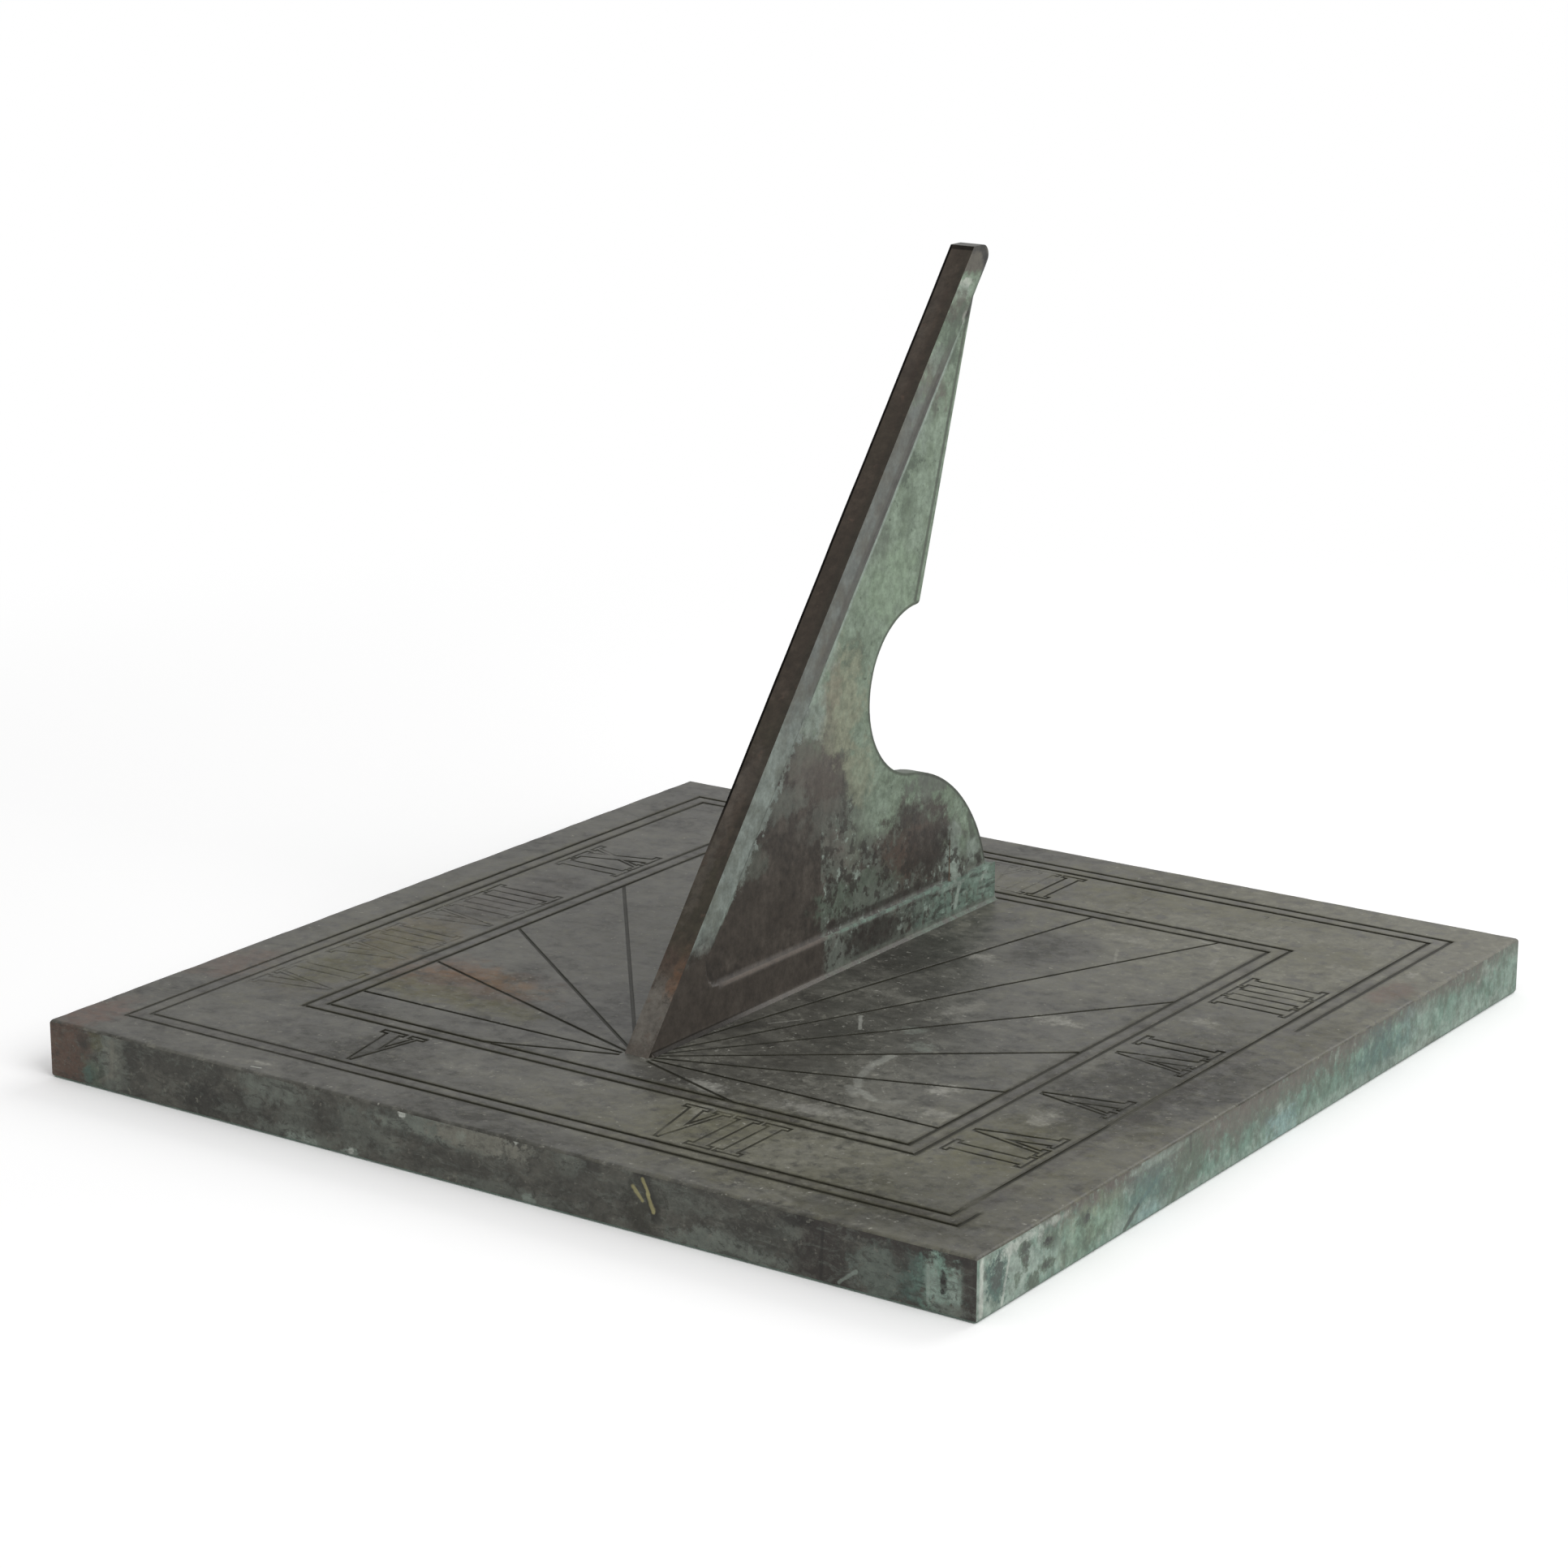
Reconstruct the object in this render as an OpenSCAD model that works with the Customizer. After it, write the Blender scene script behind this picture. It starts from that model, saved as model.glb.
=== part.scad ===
// Horizontal garden sundial in cast bronze: a thick square dial plate, engraved for the hours
// from five in the morning to seven in the evening, and an upright gnomon held from beneath.
// The plate rests on Z = 0, the noon line lies along +Y and the style rises towards +Y.

/* [Dial plate] */
// Side of the square plate
plate_side = 305; // [285:1:360]
// Thickness of the plate
plate_t = 17; // [14:0.5:24]
// Chamfer along all the plate's edges
plate_edge = 0.6; // [0.2:0.1:1.5]

/* [Engraving] */
// Latitude that the dial is drawn for, which is also the angle of the style
latitude = 51.5; // [48:0.1:54]
// From the plate's middle to the point where the hour lines meet, towards the south
centre_south = 83; // [76:0.5:84]
// From the plate's edge to the outer frame's first line
outer_frame_in = 15; // [8:0.5:18]
// From the plate's edge to the inner frame's first line
inner_frame_in = 50; // [49:0.5:54]
// Distance between the two lines of a frame
frame_pitch = 5; // [3:0.1:6]
// Width of the frame lines
frame_line_w = 1; // [0.6:0.1:1.4]
// Width of the hour lines
hour_line_w = 0.9; // [0.5:0.1:1]
// Radius round the meeting point that the hour lines stay clear of
hour_line_clear = 5; // [5:0.5:12]
// Depth of all the engraving
engrave_depth = 0.6; // [0.2:0.1:1.5]

/* [Numerals] */
// Height of the numerals
numeral_h = 24; // [18:0.5:25]
// Width of the line that the outline numerals are cut with
numeral_line_w = 0.8; // [0.5:0.1:0.9]
// Width of a thick stroke
thick_stroke = 4.4; // [3:0.1:5]
// Width of a thin stroke
thin_stroke = 1.7; // [1.5:0.1:2.4]
// Height of the serifs
serif_h = 1.8; // [1.5:0.1:2.4]
// Length that a serif stands out past its stroke
serif_out = 1.7; // [1:0.1:2.2]
// Space between the letters of a numeral
letter_gap = 1.4; // [1:0.1:2.5]
// How far apart the two strokes of V and X stand
letter_spread = 5.4; // [5:0.1:7]
// Width of the flat foot of a V
v_foot_w = 1.2; // [1:0.1:1.6]
// Distance from the noon line, or north of the middle, where the numerals meet their lines
numeral_aim = 112; // [104:0.5:124]
// Place of the five in the morning along the south band, west of the noon line
five_am_west = 62.5; // [56:0.5:76]
// Place of the seven in the evening along the south band, east of the noon line
seven_pm_east = 50; // [40:0.5:76]

/* [Gnomon] */
// Thickness of the gnomon at its style and its plinth
gnomon_t = 8; // [7:0.1:12]
// Height of the tip over the plate
tip_h = 202.5; // [190:0.5:220]
// Radius of the nose behind the tip
nose_r = 3; // [2:0.1:4]
// Height from the tip down to where the nose begins to flare out
flare_drop = 17.5; // [15:0.5:20]
// Radius of the hollow flare under the nose
flare_r = 41.5; // [36:0.5:48]
// Level width of the gnomon where the flare begins
head_w = 14.7; // [12:0.1:18]
// Radius of the round bite in the back
bite_r = 25.4; // [20:0.1:28]
// Radius of the rounded shoulder under the bite
shoulder_r = 51; // [46:0.1:53]
// From the toe of the style to the middle of the shoulder
shoulder_at = 125.5; // [122:0.1:127]
// Lean, from upright, of the line from the shoulder's middle to the bite's middle
bite_lean = 7.3; // [5:0.1:10]
// Place of the back edge's lower end on the bite, as an angle
cusp_angle = 89; // [80:1:95]
// Radius of the point between the back edge and the bite
cusp_r = 1.6; // [0.8:0.1:2.4]
// Length of the plinth, from the toe of the style
plinth_l = 178.9; // [177:0.1:184]
// Height of the plinth
plinth_h = 12; // [11.5:0.1:16]
// Width and height of the fillet round the plinth's foot
foot_fillet = 1; // [0.4:0.1:1.6]

/* [Sunk web] */
// Depth that the web is sunk on each face, behind the style band and the plinth
web_depth = 1.2; // [0.4:0.1:1.6]
// Width of the raised band left along the style
style_band_w = 8.8; // [6:0.1:12]
// Radius of the corner between the band and the plinth
web_corner_r = 6; // [3:0.1:8]
// Width of the raised boss over the north screw
boss_w = 10; // [9:0.1:14]
// Height of the boss over the plate
boss_h = 29; // [22:0.5:32]
// Radius of the boss's upper corners
boss_r = 3; // [1:0.1:4]

/* [Fixings] */
// Diameter of the screws that hold the gnomon
screw_d = 5; // [4:0.1:5]
// Length of the screws
screw_l = 25; // [23:0.1:26]
// Diameter of the screws' countersunk heads
screw_head_d = 10; // [9.5:0.1:11]
// Height of the straight rim of a head
screw_rim = 0.5; // [0.3:0.1:0.8]
// How far the heads lie under the plate's lower face
screw_sunk = 0.4; // [0.2:0.1:1]
// Width of the slot in a head
screw_slot_w = 1.2; // [0.8:0.1:1.6]
// Depth of the slot in a head
screw_slot_depth = 1.4; // [0.8:0.1:1.6]
// Diameter of the locating dowels
dowel_d = 4; // [3:0.1:5]
// Length of the dowels, half in each piece
dowel_l = 16; // [12:0.5:18]
// From the toe of the style to the first screw
fixing_first = 32; // [28:0.5:36]
// From the last screw to the north end of the plinth
fixing_last = 20.5; // [18:0.5:24]
// Space left past the end of a screw or dowel
end_room = 0.8; // [0.4:0.1:1]
// Gap all round between a fixing and its hole
fixing_gap = 0.05; // [0.02:0.01:0.1]
// Gap all round a screw where it passes through the plate
screw_room = 0.25; // [0.1:0.05:0.4]

/* [Pedestal fixing] */
// Spacing of the four tapped holes for the pedestal's studs
stud_spacing = 200; // [160:1:220]
// Diameter of those holes, as drilled for the thread
stud_hole_d = 5; // [4:0.1:8]
// Depth of those holes
stud_hole_depth = 12; // [8:0.5:12]

/* [Hidden] */
$fn = 96;
// Small overlap of a hole with the face that it opens on, and how far a cut runs past a face
eps = 0.01;
past = 1;
// Degrees that the sun turns in an hour, and hours from noon to the last line on each side
sun_turn = 15;
last_hour = 7;
plate_color = [0.42, 0.41, 0.38];
gnomon_color = [0.47, 0.54, 0.47];
fixing_color = [0.62, 0.52, 0.34];

// Small vector helpers
function unit(v) = v / norm(v);
function left_of(v) = [-v.y, v.x];
function on_line(a, b, y) = a + (b - a) * (y - a.y) / (b.y - a.y);
function meet(a, b, c, d) =
    let (u = b - a, v = d - c, w = c - a)
    a + u * (w.x * v.y - w.y * v.x) / (u.x * v.y - u.y * v.x);
function total(list, n) = n == 0 ? 0 : list[n - 1] + total(list, n - 1);

// A closed path moved inwards by d, with mitred corners
function inset_path(p, d) = [
    for (i = [0:len(p) - 1])
        let (
            n = len(p),
            u = left_of(unit(p[i] - p[(i + n - 1) % n])),
            v = left_of(unit(p[(i + 1) % n] - p[i]))
        )
        p[i] + (u + v) * d / (1 + u * v)
];

// The engraved line that follows a closed path
module path_line(p, w) {
    n = len(p);
    polygon(
        concat(inset_path(p, -w / 2), inset_path(p, w / 2)),
        [[for (i = [0:n - 1]) i], [for (i = [0:n - 1]) n + i]]
    );
}

// Outlines of the letters, from their lower left corner, anticlockwise
i_w = thick_stroke + 2 * serif_out;
letter_top = numeral_h - serif_h;
i_path = [
    [0, 0], [i_w, 0], [i_w, serif_h], [i_w - serif_out, serif_h],
    [i_w - serif_out, letter_top], [i_w, letter_top], [i_w, numeral_h],
    [0, numeral_h], [0, letter_top], [serif_out, letter_top],
    [serif_out, serif_h], [0, serif_h]
];

// V: a thick stroke from the top left and a thin one from the top right, with a flat foot
v_thick = serif_out;
v_thin = v_thick + thick_stroke + letter_spread;
v_w = v_thin + thin_stroke + serif_out;
v_foot = v_w / 2;
v_thick_out = [[v_thick, numeral_h], [v_foot - v_foot_w / 2, 0]];
v_thin_out = [[v_thin + thin_stroke, numeral_h], [v_foot + v_foot_w / 2, 0]];
v_thick_in = [for (p = v_thick_out) p + [thick_stroke, 0]];
v_thin_in = [for (p = v_thin_out) p - [thin_stroke, 0]];
v_path = [
    v_thick_out[1], v_thin_out[1],
    on_line(v_thin_out[0], v_thin_out[1], letter_top),
    [v_w, letter_top], [v_w, numeral_h],
    [v_thin - serif_out, numeral_h], [v_thin - serif_out, letter_top],
    on_line(v_thin_in[0], v_thin_in[1], letter_top),
    meet(v_thin_in[0], v_thin_in[1], v_thick_in[0], v_thick_in[1]),
    on_line(v_thick_in[0], v_thick_in[1], letter_top),
    [v_thick + thick_stroke + serif_out, letter_top], [v_thick + thick_stroke + serif_out, numeral_h],
    [0, numeral_h], [0, letter_top],
    on_line(v_thick_out[0], v_thick_out[1], letter_top)
];

// X: a thick stroke falling to the right across a thin one
x_w = thick_stroke + thin_stroke + letter_spread + 2 * serif_out;
x_thick_l = [[serif_out, numeral_h], [x_w - serif_out - thick_stroke, 0]];
x_thick_r = [for (p = x_thick_l) p + [thick_stroke, 0]];
x_thin_r = [[x_w - serif_out, numeral_h], [serif_out + thin_stroke, 0]];
x_thin_l = [for (p = x_thin_r) p - [thin_stroke, 0]];
x_path = [
    [0, 0], [2 * serif_out + thin_stroke, 0], [2 * serif_out + thin_stroke, serif_h],
    on_line(x_thin_r[0], x_thin_r[1], serif_h),
    meet(x_thin_r[0], x_thin_r[1], x_thick_l[0], x_thick_l[1]),
    on_line(x_thick_l[0], x_thick_l[1], serif_h),
    [x_w - thick_stroke - 2 * serif_out, serif_h], [x_w - thick_stroke - 2 * serif_out, 0],
    [x_w, 0], [x_w, serif_h],
    on_line(x_thick_r[0], x_thick_r[1], serif_h),
    meet(x_thick_r[0], x_thick_r[1], x_thin_r[0], x_thin_r[1]),
    on_line(x_thin_r[0], x_thin_r[1], letter_top),
    [x_w, letter_top], [x_w, numeral_h],
    [x_w - thin_stroke - 2 * serif_out, numeral_h], [x_w - thin_stroke - 2 * serif_out, letter_top],
    on_line(x_thin_l[0], x_thin_l[1], letter_top),
    meet(x_thin_l[0], x_thin_l[1], x_thick_r[0], x_thick_r[1]),
    on_line(x_thick_r[0], x_thick_r[1], letter_top),
    [2 * serif_out + thick_stroke, letter_top], [2 * serif_out + thick_stroke, numeral_h],
    [0, numeral_h], [0, letter_top],
    on_line(x_thick_l[0], x_thick_l[1], letter_top),
    meet(x_thick_l[0], x_thick_l[1], x_thin_l[0], x_thin_l[1]),
    on_line(x_thin_l[0], x_thin_l[1], serif_h),
    [0, serif_h]
];

function letter_w(c) = c == "I" ? i_w : c == "V" ? v_w : x_w;
function letter_path(c) = c == "I" ? i_path : c == "V" ? v_path : x_path;

// A numeral in outline, centred on the origin with its head towards +Y
module numeral(word) {
    widths = [for (c = word) letter_w(c) + letter_gap];
    n = len(word);
    full_w = total(widths, n) - letter_gap;
    for (i = [0:n - 1])
        translate([total(widths, i) - full_w / 2, -numeral_h / 2])
            path_line(letter_path(word[i]), numeral_line_w);
}

// Angle of an hour's line from the noon line, for hours counted from noon
function hour_angle(h) =
    let (a = abs(h), t = atan(sin(latitude) * tan(sun_turn * a)))
    sign(h) * (a == 6 ? 90 : a > 6 ? 180 + t : t);

plate_half = plate_side / 2;
inner_half = plate_half - inner_frame_in - frame_pitch;
band_mid = (2 * plate_half - outer_frame_in - frame_pitch - inner_frame_in) / 2;
centre = [0, -centre_south];

// Length of the hour line h from the meeting point to the inner frame
function hour_line_l(h) =
    let (
        a = abs(hour_angle(h)),
        reach = cos(a) < 0 ? inner_half - centre_south : inner_half + centre_south
    )
    min(inner_half / sin(a), reach / abs(cos(a)));

module frame_line(half) {
    path_line([[-half, -half], [half, -half], [half, half], [-half, half]], frame_line_w);
}

module hour_line(h) {
    translate(centre)
        rotate(-hour_angle(h))
            translate([-hour_line_w / 2, hour_line_clear])
                square([hour_line_w, hour_line_l(h) - hour_line_clear]);
}

// Numerals of the east and west bands stand where their lines, drawn on, reach numeral_aim
module side_numeral(h, word) {
    along = -centre_south + numeral_aim / tan(abs(hour_angle(h)));
    translate([sign(h) * band_mid, abs(h) == 6 ? -centre_south : along])
        rotate(-90 * sign(h))
            numeral(word);
}

module north_numeral(h, word) {
    translate([(numeral_aim + centre_south) * tan(hour_angle(h)), band_mid])
        numeral(word);
}

module engraving() {
    for (inset = [outer_frame_in, inner_frame_in])
        for (step = [0, frame_pitch])
            frame_line(plate_half - inset - step);
    for (h = [1:last_hour]) {
        hour_line(h);
        hour_line(-h);
    }
    side_numeral(-6, "VI");
    side_numeral(-5, "VII");
    side_numeral(-4, "VIII");
    side_numeral(-3, "IX");
    north_numeral(-2, "X");
    north_numeral(-1, "XI");
    north_numeral(0, "XII");
    north_numeral(1, "I");
    north_numeral(2, "II");
    side_numeral(3, "III");
    side_numeral(4, "IV");
    side_numeral(5, "V");
    side_numeral(6, "VI");
    translate([-five_am_west, -band_mid]) numeral("V");
    translate([seven_pm_east, -band_mid]) numeral("VII");
}

// Fixings: a screw at each even place and a dowel at each odd one, counted from the south
screw_places = [0, 2, 4];
dowel_places = [1, 3];
fixing_pitch = (plinth_l - fixing_first - fixing_last) / screw_places[2];
function fixing_at(i) = [0, -centre_south + fixing_first + i * fixing_pitch];
cone_h = (screw_head_d - screw_d) / 2;
shank_r = screw_d / 2;
head_r = screw_head_d / 2;
dowel_r = dowel_d / 2;

// A countersunk head with its shank, standing on its head and grown all round by the gap
module screw_form(l, gap, shank_gap) {
    cylinder(r = head_r + gap, h = screw_rim);
    translate([0, 0, screw_rim])
        cylinder(r1 = head_r + gap, r2 = shank_r + gap, h = cone_h);
    cylinder(r = shank_r + shank_gap, h = l);
}

module screw_ways() {
    for (i = screw_places)
        translate(concat(fixing_at(i), 0)) {
            translate([0, 0, -eps]) cylinder(r = head_r + 2 * fixing_gap, h = screw_sunk + 2 * eps);
            translate([0, 0, screw_sunk]) screw_form(plate_t, 2 * fixing_gap, screw_room);
        }
}

module dowel_holes() {
    for (i = dowel_places)
        translate(concat(fixing_at(i), plate_t - dowel_l / 2 - end_room))
            cylinder(r = dowel_r + fixing_gap, h = dowel_l + 2 * end_room);
}

module stud_holes() {
    for (x = [-1, 1], y = [-1, 1])
        translate([x * stud_spacing / 2, y * stud_spacing / 2, -eps])
            cylinder(r = stud_hole_d / 2, h = stud_hole_depth + eps);
}

// The slab, as the meeting of two bars with chamfered edges, one along X and one along Y
slab_section = [
    [plate_half - plate_edge, 0], [plate_half, plate_edge],
    [plate_half, plate_t - plate_edge], [plate_half - plate_edge, plate_t],
    [plate_edge - plate_half, plate_t], [-plate_half, plate_t - plate_edge],
    [-plate_half, plate_edge], [plate_edge - plate_half, 0]
];

module slab() {
    intersection() {
        rotate([90, 0, 0])
            translate([0, 0, -plate_half])
                linear_extrude(plate_side) polygon(slab_section);
        rotate([90, 0, 90])
            translate([0, 0, -plate_half])
                linear_extrude(plate_side) polygon(slab_section);
    }
}

module dial_plate() {
    color(plate_color)
        difference() {
            slab();
            translate([0, 0, plate_t - engrave_depth])
                linear_extrude(engrave_depth + past) engraving();
            screw_ways();
            dowel_holes();
            stud_holes();
        }
}

// Gnomon, drawn in its own plane: first number along +Y from the toe, second number up
style_dir = [cos(latitude), sin(latitude)];
function style_at(h) = h / tan(latitude);

plinth_from = ceil(style_at(plinth_h)) + past;
shoulder_c = [shoulder_at, 0];
bite_c = shoulder_c + (shoulder_r + bite_r) * [sin(bite_lean), cos(bite_lean)];
bite_touch = shoulder_c + shoulder_r * [sin(bite_lean), cos(bite_lean)];
cusp_point = bite_c + bite_r * [cos(cusp_angle), sin(cusp_angle)];
back_top = [style_at(tip_h - flare_drop) + head_w, tip_h - flare_drop];
back_dir = unit(back_top - cusp_point);
back_in = left_of(back_dir);

// The small round of the cusp touches the back edge and the bite
cusp_from = cusp_point + back_in * cusp_r - bite_c;
cusp_step = sqrt(pow(back_dir * cusp_from, 2) - cusp_from * cusp_from + pow(bite_r + cusp_r, 2));
cusp_c = bite_c + cusp_from + back_dir * (cusp_step - back_dir * cusp_from);
cusp_on_back = cusp_c - back_in * cusp_r;
cusp_on_bite = bite_c + unit(cusp_c - bite_c) * bite_r;

// The flare leaves the back edge smoothly, and the nose touches the flare and the top
flare_c = back_top - back_in * flare_r;
nose_h = tip_h - nose_r;
nose_c = [flare_c.x - sqrt(pow(flare_r + nose_r, 2) - pow(nose_h - flare_c.y, 2)), nose_h];
nose_touch = flare_c + unit(nose_c - flare_c) * flare_r;

module gnomon_outline() {
    difference() {
        union() {
            polygon([
                [0, 0], [shoulder_at + shoulder_r, 0], bite_touch, cusp_on_bite, cusp_on_back,
                back_top, nose_touch, nose_c, [nose_c.x, tip_h], [style_at(tip_h), tip_h]
            ]);
            translate(nose_c) circle(nose_r);
            translate(cusp_c) circle(cusp_r);
            intersection() {
                translate(shoulder_c) circle(shoulder_r);
                translate([shoulder_at - shoulder_r, 0]) square(2 * shoulder_r);
            }
            translate([plinth_from, 0]) square([plinth_l - plinth_from, plinth_h]);
        }
        translate(bite_c) circle(bite_r);
        translate(flare_c) circle(flare_r);
    }
}

// The sunk web lies behind the style band and over the plinth, and runs out through the back
web_corner_h = plinth_h + web_corner_r;
web_corner = [style_at(web_corner_h) + (style_band_w + web_corner_r) / sin(latitude), web_corner_h];
web_band_top = [style_at(tip_h) + style_band_w / sin(latitude), tip_h];
web_past = plinth_l + web_corner_r;
boss_at = plinth_l - fixing_last;

module web_outline() {
    difference() {
        union() {
            polygon([
                [web_corner.x, plinth_h], [web_past, plinth_h], [web_past, tip_h],
                web_band_top, web_corner + web_corner_r * left_of(style_dir)
            ]);
            translate(web_corner) circle(web_corner_r);
        }
        translate([boss_at - boss_w / 2, 0]) square([boss_w, boss_h - boss_r]);
        translate([boss_at - boss_w / 2 + boss_r, 0]) square([boss_w - 2 * boss_r, boss_h]);
        for (side = [-1, 1])
            translate([boss_at + side * (boss_w / 2 - boss_r), boss_h - boss_r]) circle(boss_r);
    }
}

// A flat shape from the gnomon's plane, standing over the noon line between two values of X
module stand(from, to) {
    translate([from, -centre_south, plate_t])
        rotate([90, 0, 90])
            linear_extrude(to - from) children();
}

// Fillet that widens the plinth where it meets the plate, stopped a little north of the toe
module foot() {
    foot_half = gnomon_t / 2;
    translate([0, -centre_south + plinth_l, plate_t])
        rotate([90, 0, 0])
            linear_extrude(plinth_l - 2 * style_at(foot_fillet))
                polygon([
                    [-foot_half - foot_fillet, 0], [foot_half + foot_fillet, 0],
                    [foot_half, foot_fillet], [-foot_half, foot_fillet]
                ]);
}

module gnomon() {
    half = gnomon_t / 2;
    screw_end = screw_sunk + screw_l + end_room;
    color(gnomon_color)
        difference() {
            union() {
                stand(-half, half) gnomon_outline();
                foot();
            }
            stand(half - web_depth, half + past) web_outline();
            stand(-half - past, web_depth - half) web_outline();
            for (i = screw_places)
                translate(concat(fixing_at(i), plate_t - eps))
                    cylinder(r = shank_r + fixing_gap, h = screw_end - plate_t + eps);
            dowel_holes();
        }
}

module screw(i) {
    color(fixing_color)
        translate(concat(fixing_at(i), screw_sunk))
            difference() {
                screw_form(screw_l, 0, 0);
                translate([-head_r - past, -screw_slot_w / 2, -eps])
                    cube([2 * (head_r + past), screw_slot_w, screw_slot_depth + eps]);
            }
}

module dowel(i) {
    color(fixing_color)
        translate(concat(fixing_at(i), plate_t - dowel_l / 2))
            cylinder(r = dowel_r, h = dowel_l);
}

dial_plate();
gnomon();
screw(screw_places[0]);  // screw_south
screw(screw_places[1]);  // screw_middle
screw(screw_places[2]);  // screw_north
dowel(dowel_places[0]);  // dowel_south
dowel(dowel_places[1]);  // dowel_north
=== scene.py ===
import math
import bpy
import bmesh
from mathutils import Matrix, Vector, noise


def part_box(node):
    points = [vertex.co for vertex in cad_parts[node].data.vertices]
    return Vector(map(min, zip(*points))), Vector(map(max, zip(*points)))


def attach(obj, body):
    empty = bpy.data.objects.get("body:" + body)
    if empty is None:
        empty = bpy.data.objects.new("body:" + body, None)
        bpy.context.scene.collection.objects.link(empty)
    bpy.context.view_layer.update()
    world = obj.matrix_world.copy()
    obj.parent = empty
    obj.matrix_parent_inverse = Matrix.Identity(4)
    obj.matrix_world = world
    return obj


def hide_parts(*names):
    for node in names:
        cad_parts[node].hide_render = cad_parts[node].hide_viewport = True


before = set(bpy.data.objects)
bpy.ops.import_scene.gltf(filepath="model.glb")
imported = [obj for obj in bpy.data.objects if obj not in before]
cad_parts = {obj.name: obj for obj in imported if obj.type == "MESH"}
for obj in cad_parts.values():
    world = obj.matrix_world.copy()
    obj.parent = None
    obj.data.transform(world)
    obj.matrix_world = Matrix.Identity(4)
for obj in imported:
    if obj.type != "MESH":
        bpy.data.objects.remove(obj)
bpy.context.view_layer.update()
print("frame loaded:", sorted(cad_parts))

mm = 0.001


# A colour written as it looks on a screen, 0 to 255, as the linear values that shaders take
def tone(red, green, blue):
    def linear(level):
        level /= 255
        return level / 12.92 if level <= 0.04045 else ((level + 0.055) / 1.055) ** 2.4
    return (linear(red), linear(green), linear(blue), 1.0)


# Short ways to make and join nodes. A value is a number, a tuple or another node's socket.
class Nodes:
    def __init__(self, tree):
        self.tree = tree

    def node(self, kind, **settings):
        made = self.tree.nodes.new(kind)
        for name, value in settings.items():
            setattr(made, name, value)
        return made

    def wire(self, value, socket):
        if isinstance(value, bpy.types.NodeSocket):
            self.tree.links.new(value, socket)
        else:
            socket.default_value = value

    def split(self, vector):
        parts = self.node("ShaderNodeSeparateXYZ")
        self.wire(vector, parts.inputs[0])
        return parts.outputs[0], parts.outputs[1], parts.outputs[2]

    def vector(self, operation, a, b=(0, 0, 0), c=(0, 0, 0), scale=1.0):
        made = self.node("ShaderNodeVectorMath", operation=operation)
        for value, socket in zip((a, b, c, scale), made.inputs):
            self.wire(value, socket)
        single = operation in ("LENGTH", "DISTANCE", "DOT_PRODUCT")
        return made.outputs["Value" if single else "Vector"]

    def calc(self, operation, a, b=0.0, c=0.0):
        made = self.node("ShaderNodeMath", operation=operation)
        for value, socket in zip((a, b, c), made.inputs):
            self.wire(value, socket)
        return made.outputs[0]

    # A value with so many times another added
    def plus(self, value, other, times):
        return self.calc("MULTIPLY_ADD", other, times, value)

    # How far a value is from a level
    def off(self, value, level):
        return self.calc("ABSOLUTE", self.calc("SUBTRACT", value, level))

    def each(self, operation, values):
        result = values[0]
        for value in values[1:]:
            result = self.calc(operation, result, value)
        return result

    def both(self, *masks):
        return self.each("MULTIPLY", masks)

    def most(self, *values):
        return self.each("MAXIMUM", values)

    # A value from low to high turned into one from start to end
    def ramp(self, value, low, high, start=0.0, end=1.0, **settings):
        made = self.node("ShaderNodeMapRange", **settings)
        for level, socket in zip((value, low, high, start, end), made.inputs):
            self.wire(level, socket)
        return made.outputs["Result"]

    # 0 at low, full at high and smooth between; low may be the larger one
    def step(self, value, low, high, full=1.0):
        return self.ramp(value, low, high, 0.0, full, interpolation_type="SMOOTHSTEP", clamp=False)

    def mix(self, mask, under, over):
        made = self.node("ShaderNodeMix", data_type="RGBA")
        for value, socket in zip((mask, under, over), (0, 6, 7)):
            self.wire(value, made.inputs[socket])
        return made.outputs[2]

    def blend(self, mask, under, over):
        made = self.node("ShaderNodeMix", data_type="FLOAT")
        for value, socket in zip((mask, under, over), (0, 2, 3)):
            self.wire(value, made.inputs[socket])
        return made.outputs[0]


# Tones of the weathered bronze, as they look on a screen
patina = {
    "slate": (76, 75, 69), "slateLight": (98, 97, 89), "slateDark": (56, 55, 50),
    "ash": (122, 121, 111), "straw": (112, 110, 90), "dust": (156, 155, 147),
    "fog": (110, 115, 107), "mist": (138, 147, 141), "taupe": (106, 102, 95),
    "umber": (71, 65, 59), "umberLight": (90, 84, 77), "umberDark": (54, 50, 46),
    "bark": (60, 51, 43), "barkDark": (52, 45, 37), "barkLight": (74, 65, 56),
    "tan": (126, 114, 103), "brass": (158, 152, 112), "rust": (112, 80, 56),
    "amber": (100, 80, 58), "copper": (90, 73, 63), "olive": (84, 82, 60),
    "oliveDark": (40, 39, 30), "oliveDeep": (52, 50, 38), "sage": (138, 156, 134),
    "greyBlue": (116, 121, 117), "sageDeep": (90, 101, 88), "lichen": (146, 150, 130),
    "moss": (100, 106, 97), "verdigris": (122, 146, 133), "verdigrisDeep": (82, 102, 94),
    "teal": (94, 114, 110), "pale": (154, 166, 156), "blue": (138, 162, 158),
    "chalk": (196, 199, 190), "soot": (34, 33, 30), "black": (15, 14, 12),
    "bronze": (150, 116, 68), "bronzeDull": (112, 92, 60),
}


def tint(name):
    return tone(*patina[name])


# The two axes that places on a face are given along
onTop, facingSouth, facingEast = (0, 1), (0, 2), (1, 2)


def spread(axes, pair):
    full = [0, 0, 0]
    full[axes[0]], full[axes[1]] = pair
    return full


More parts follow.
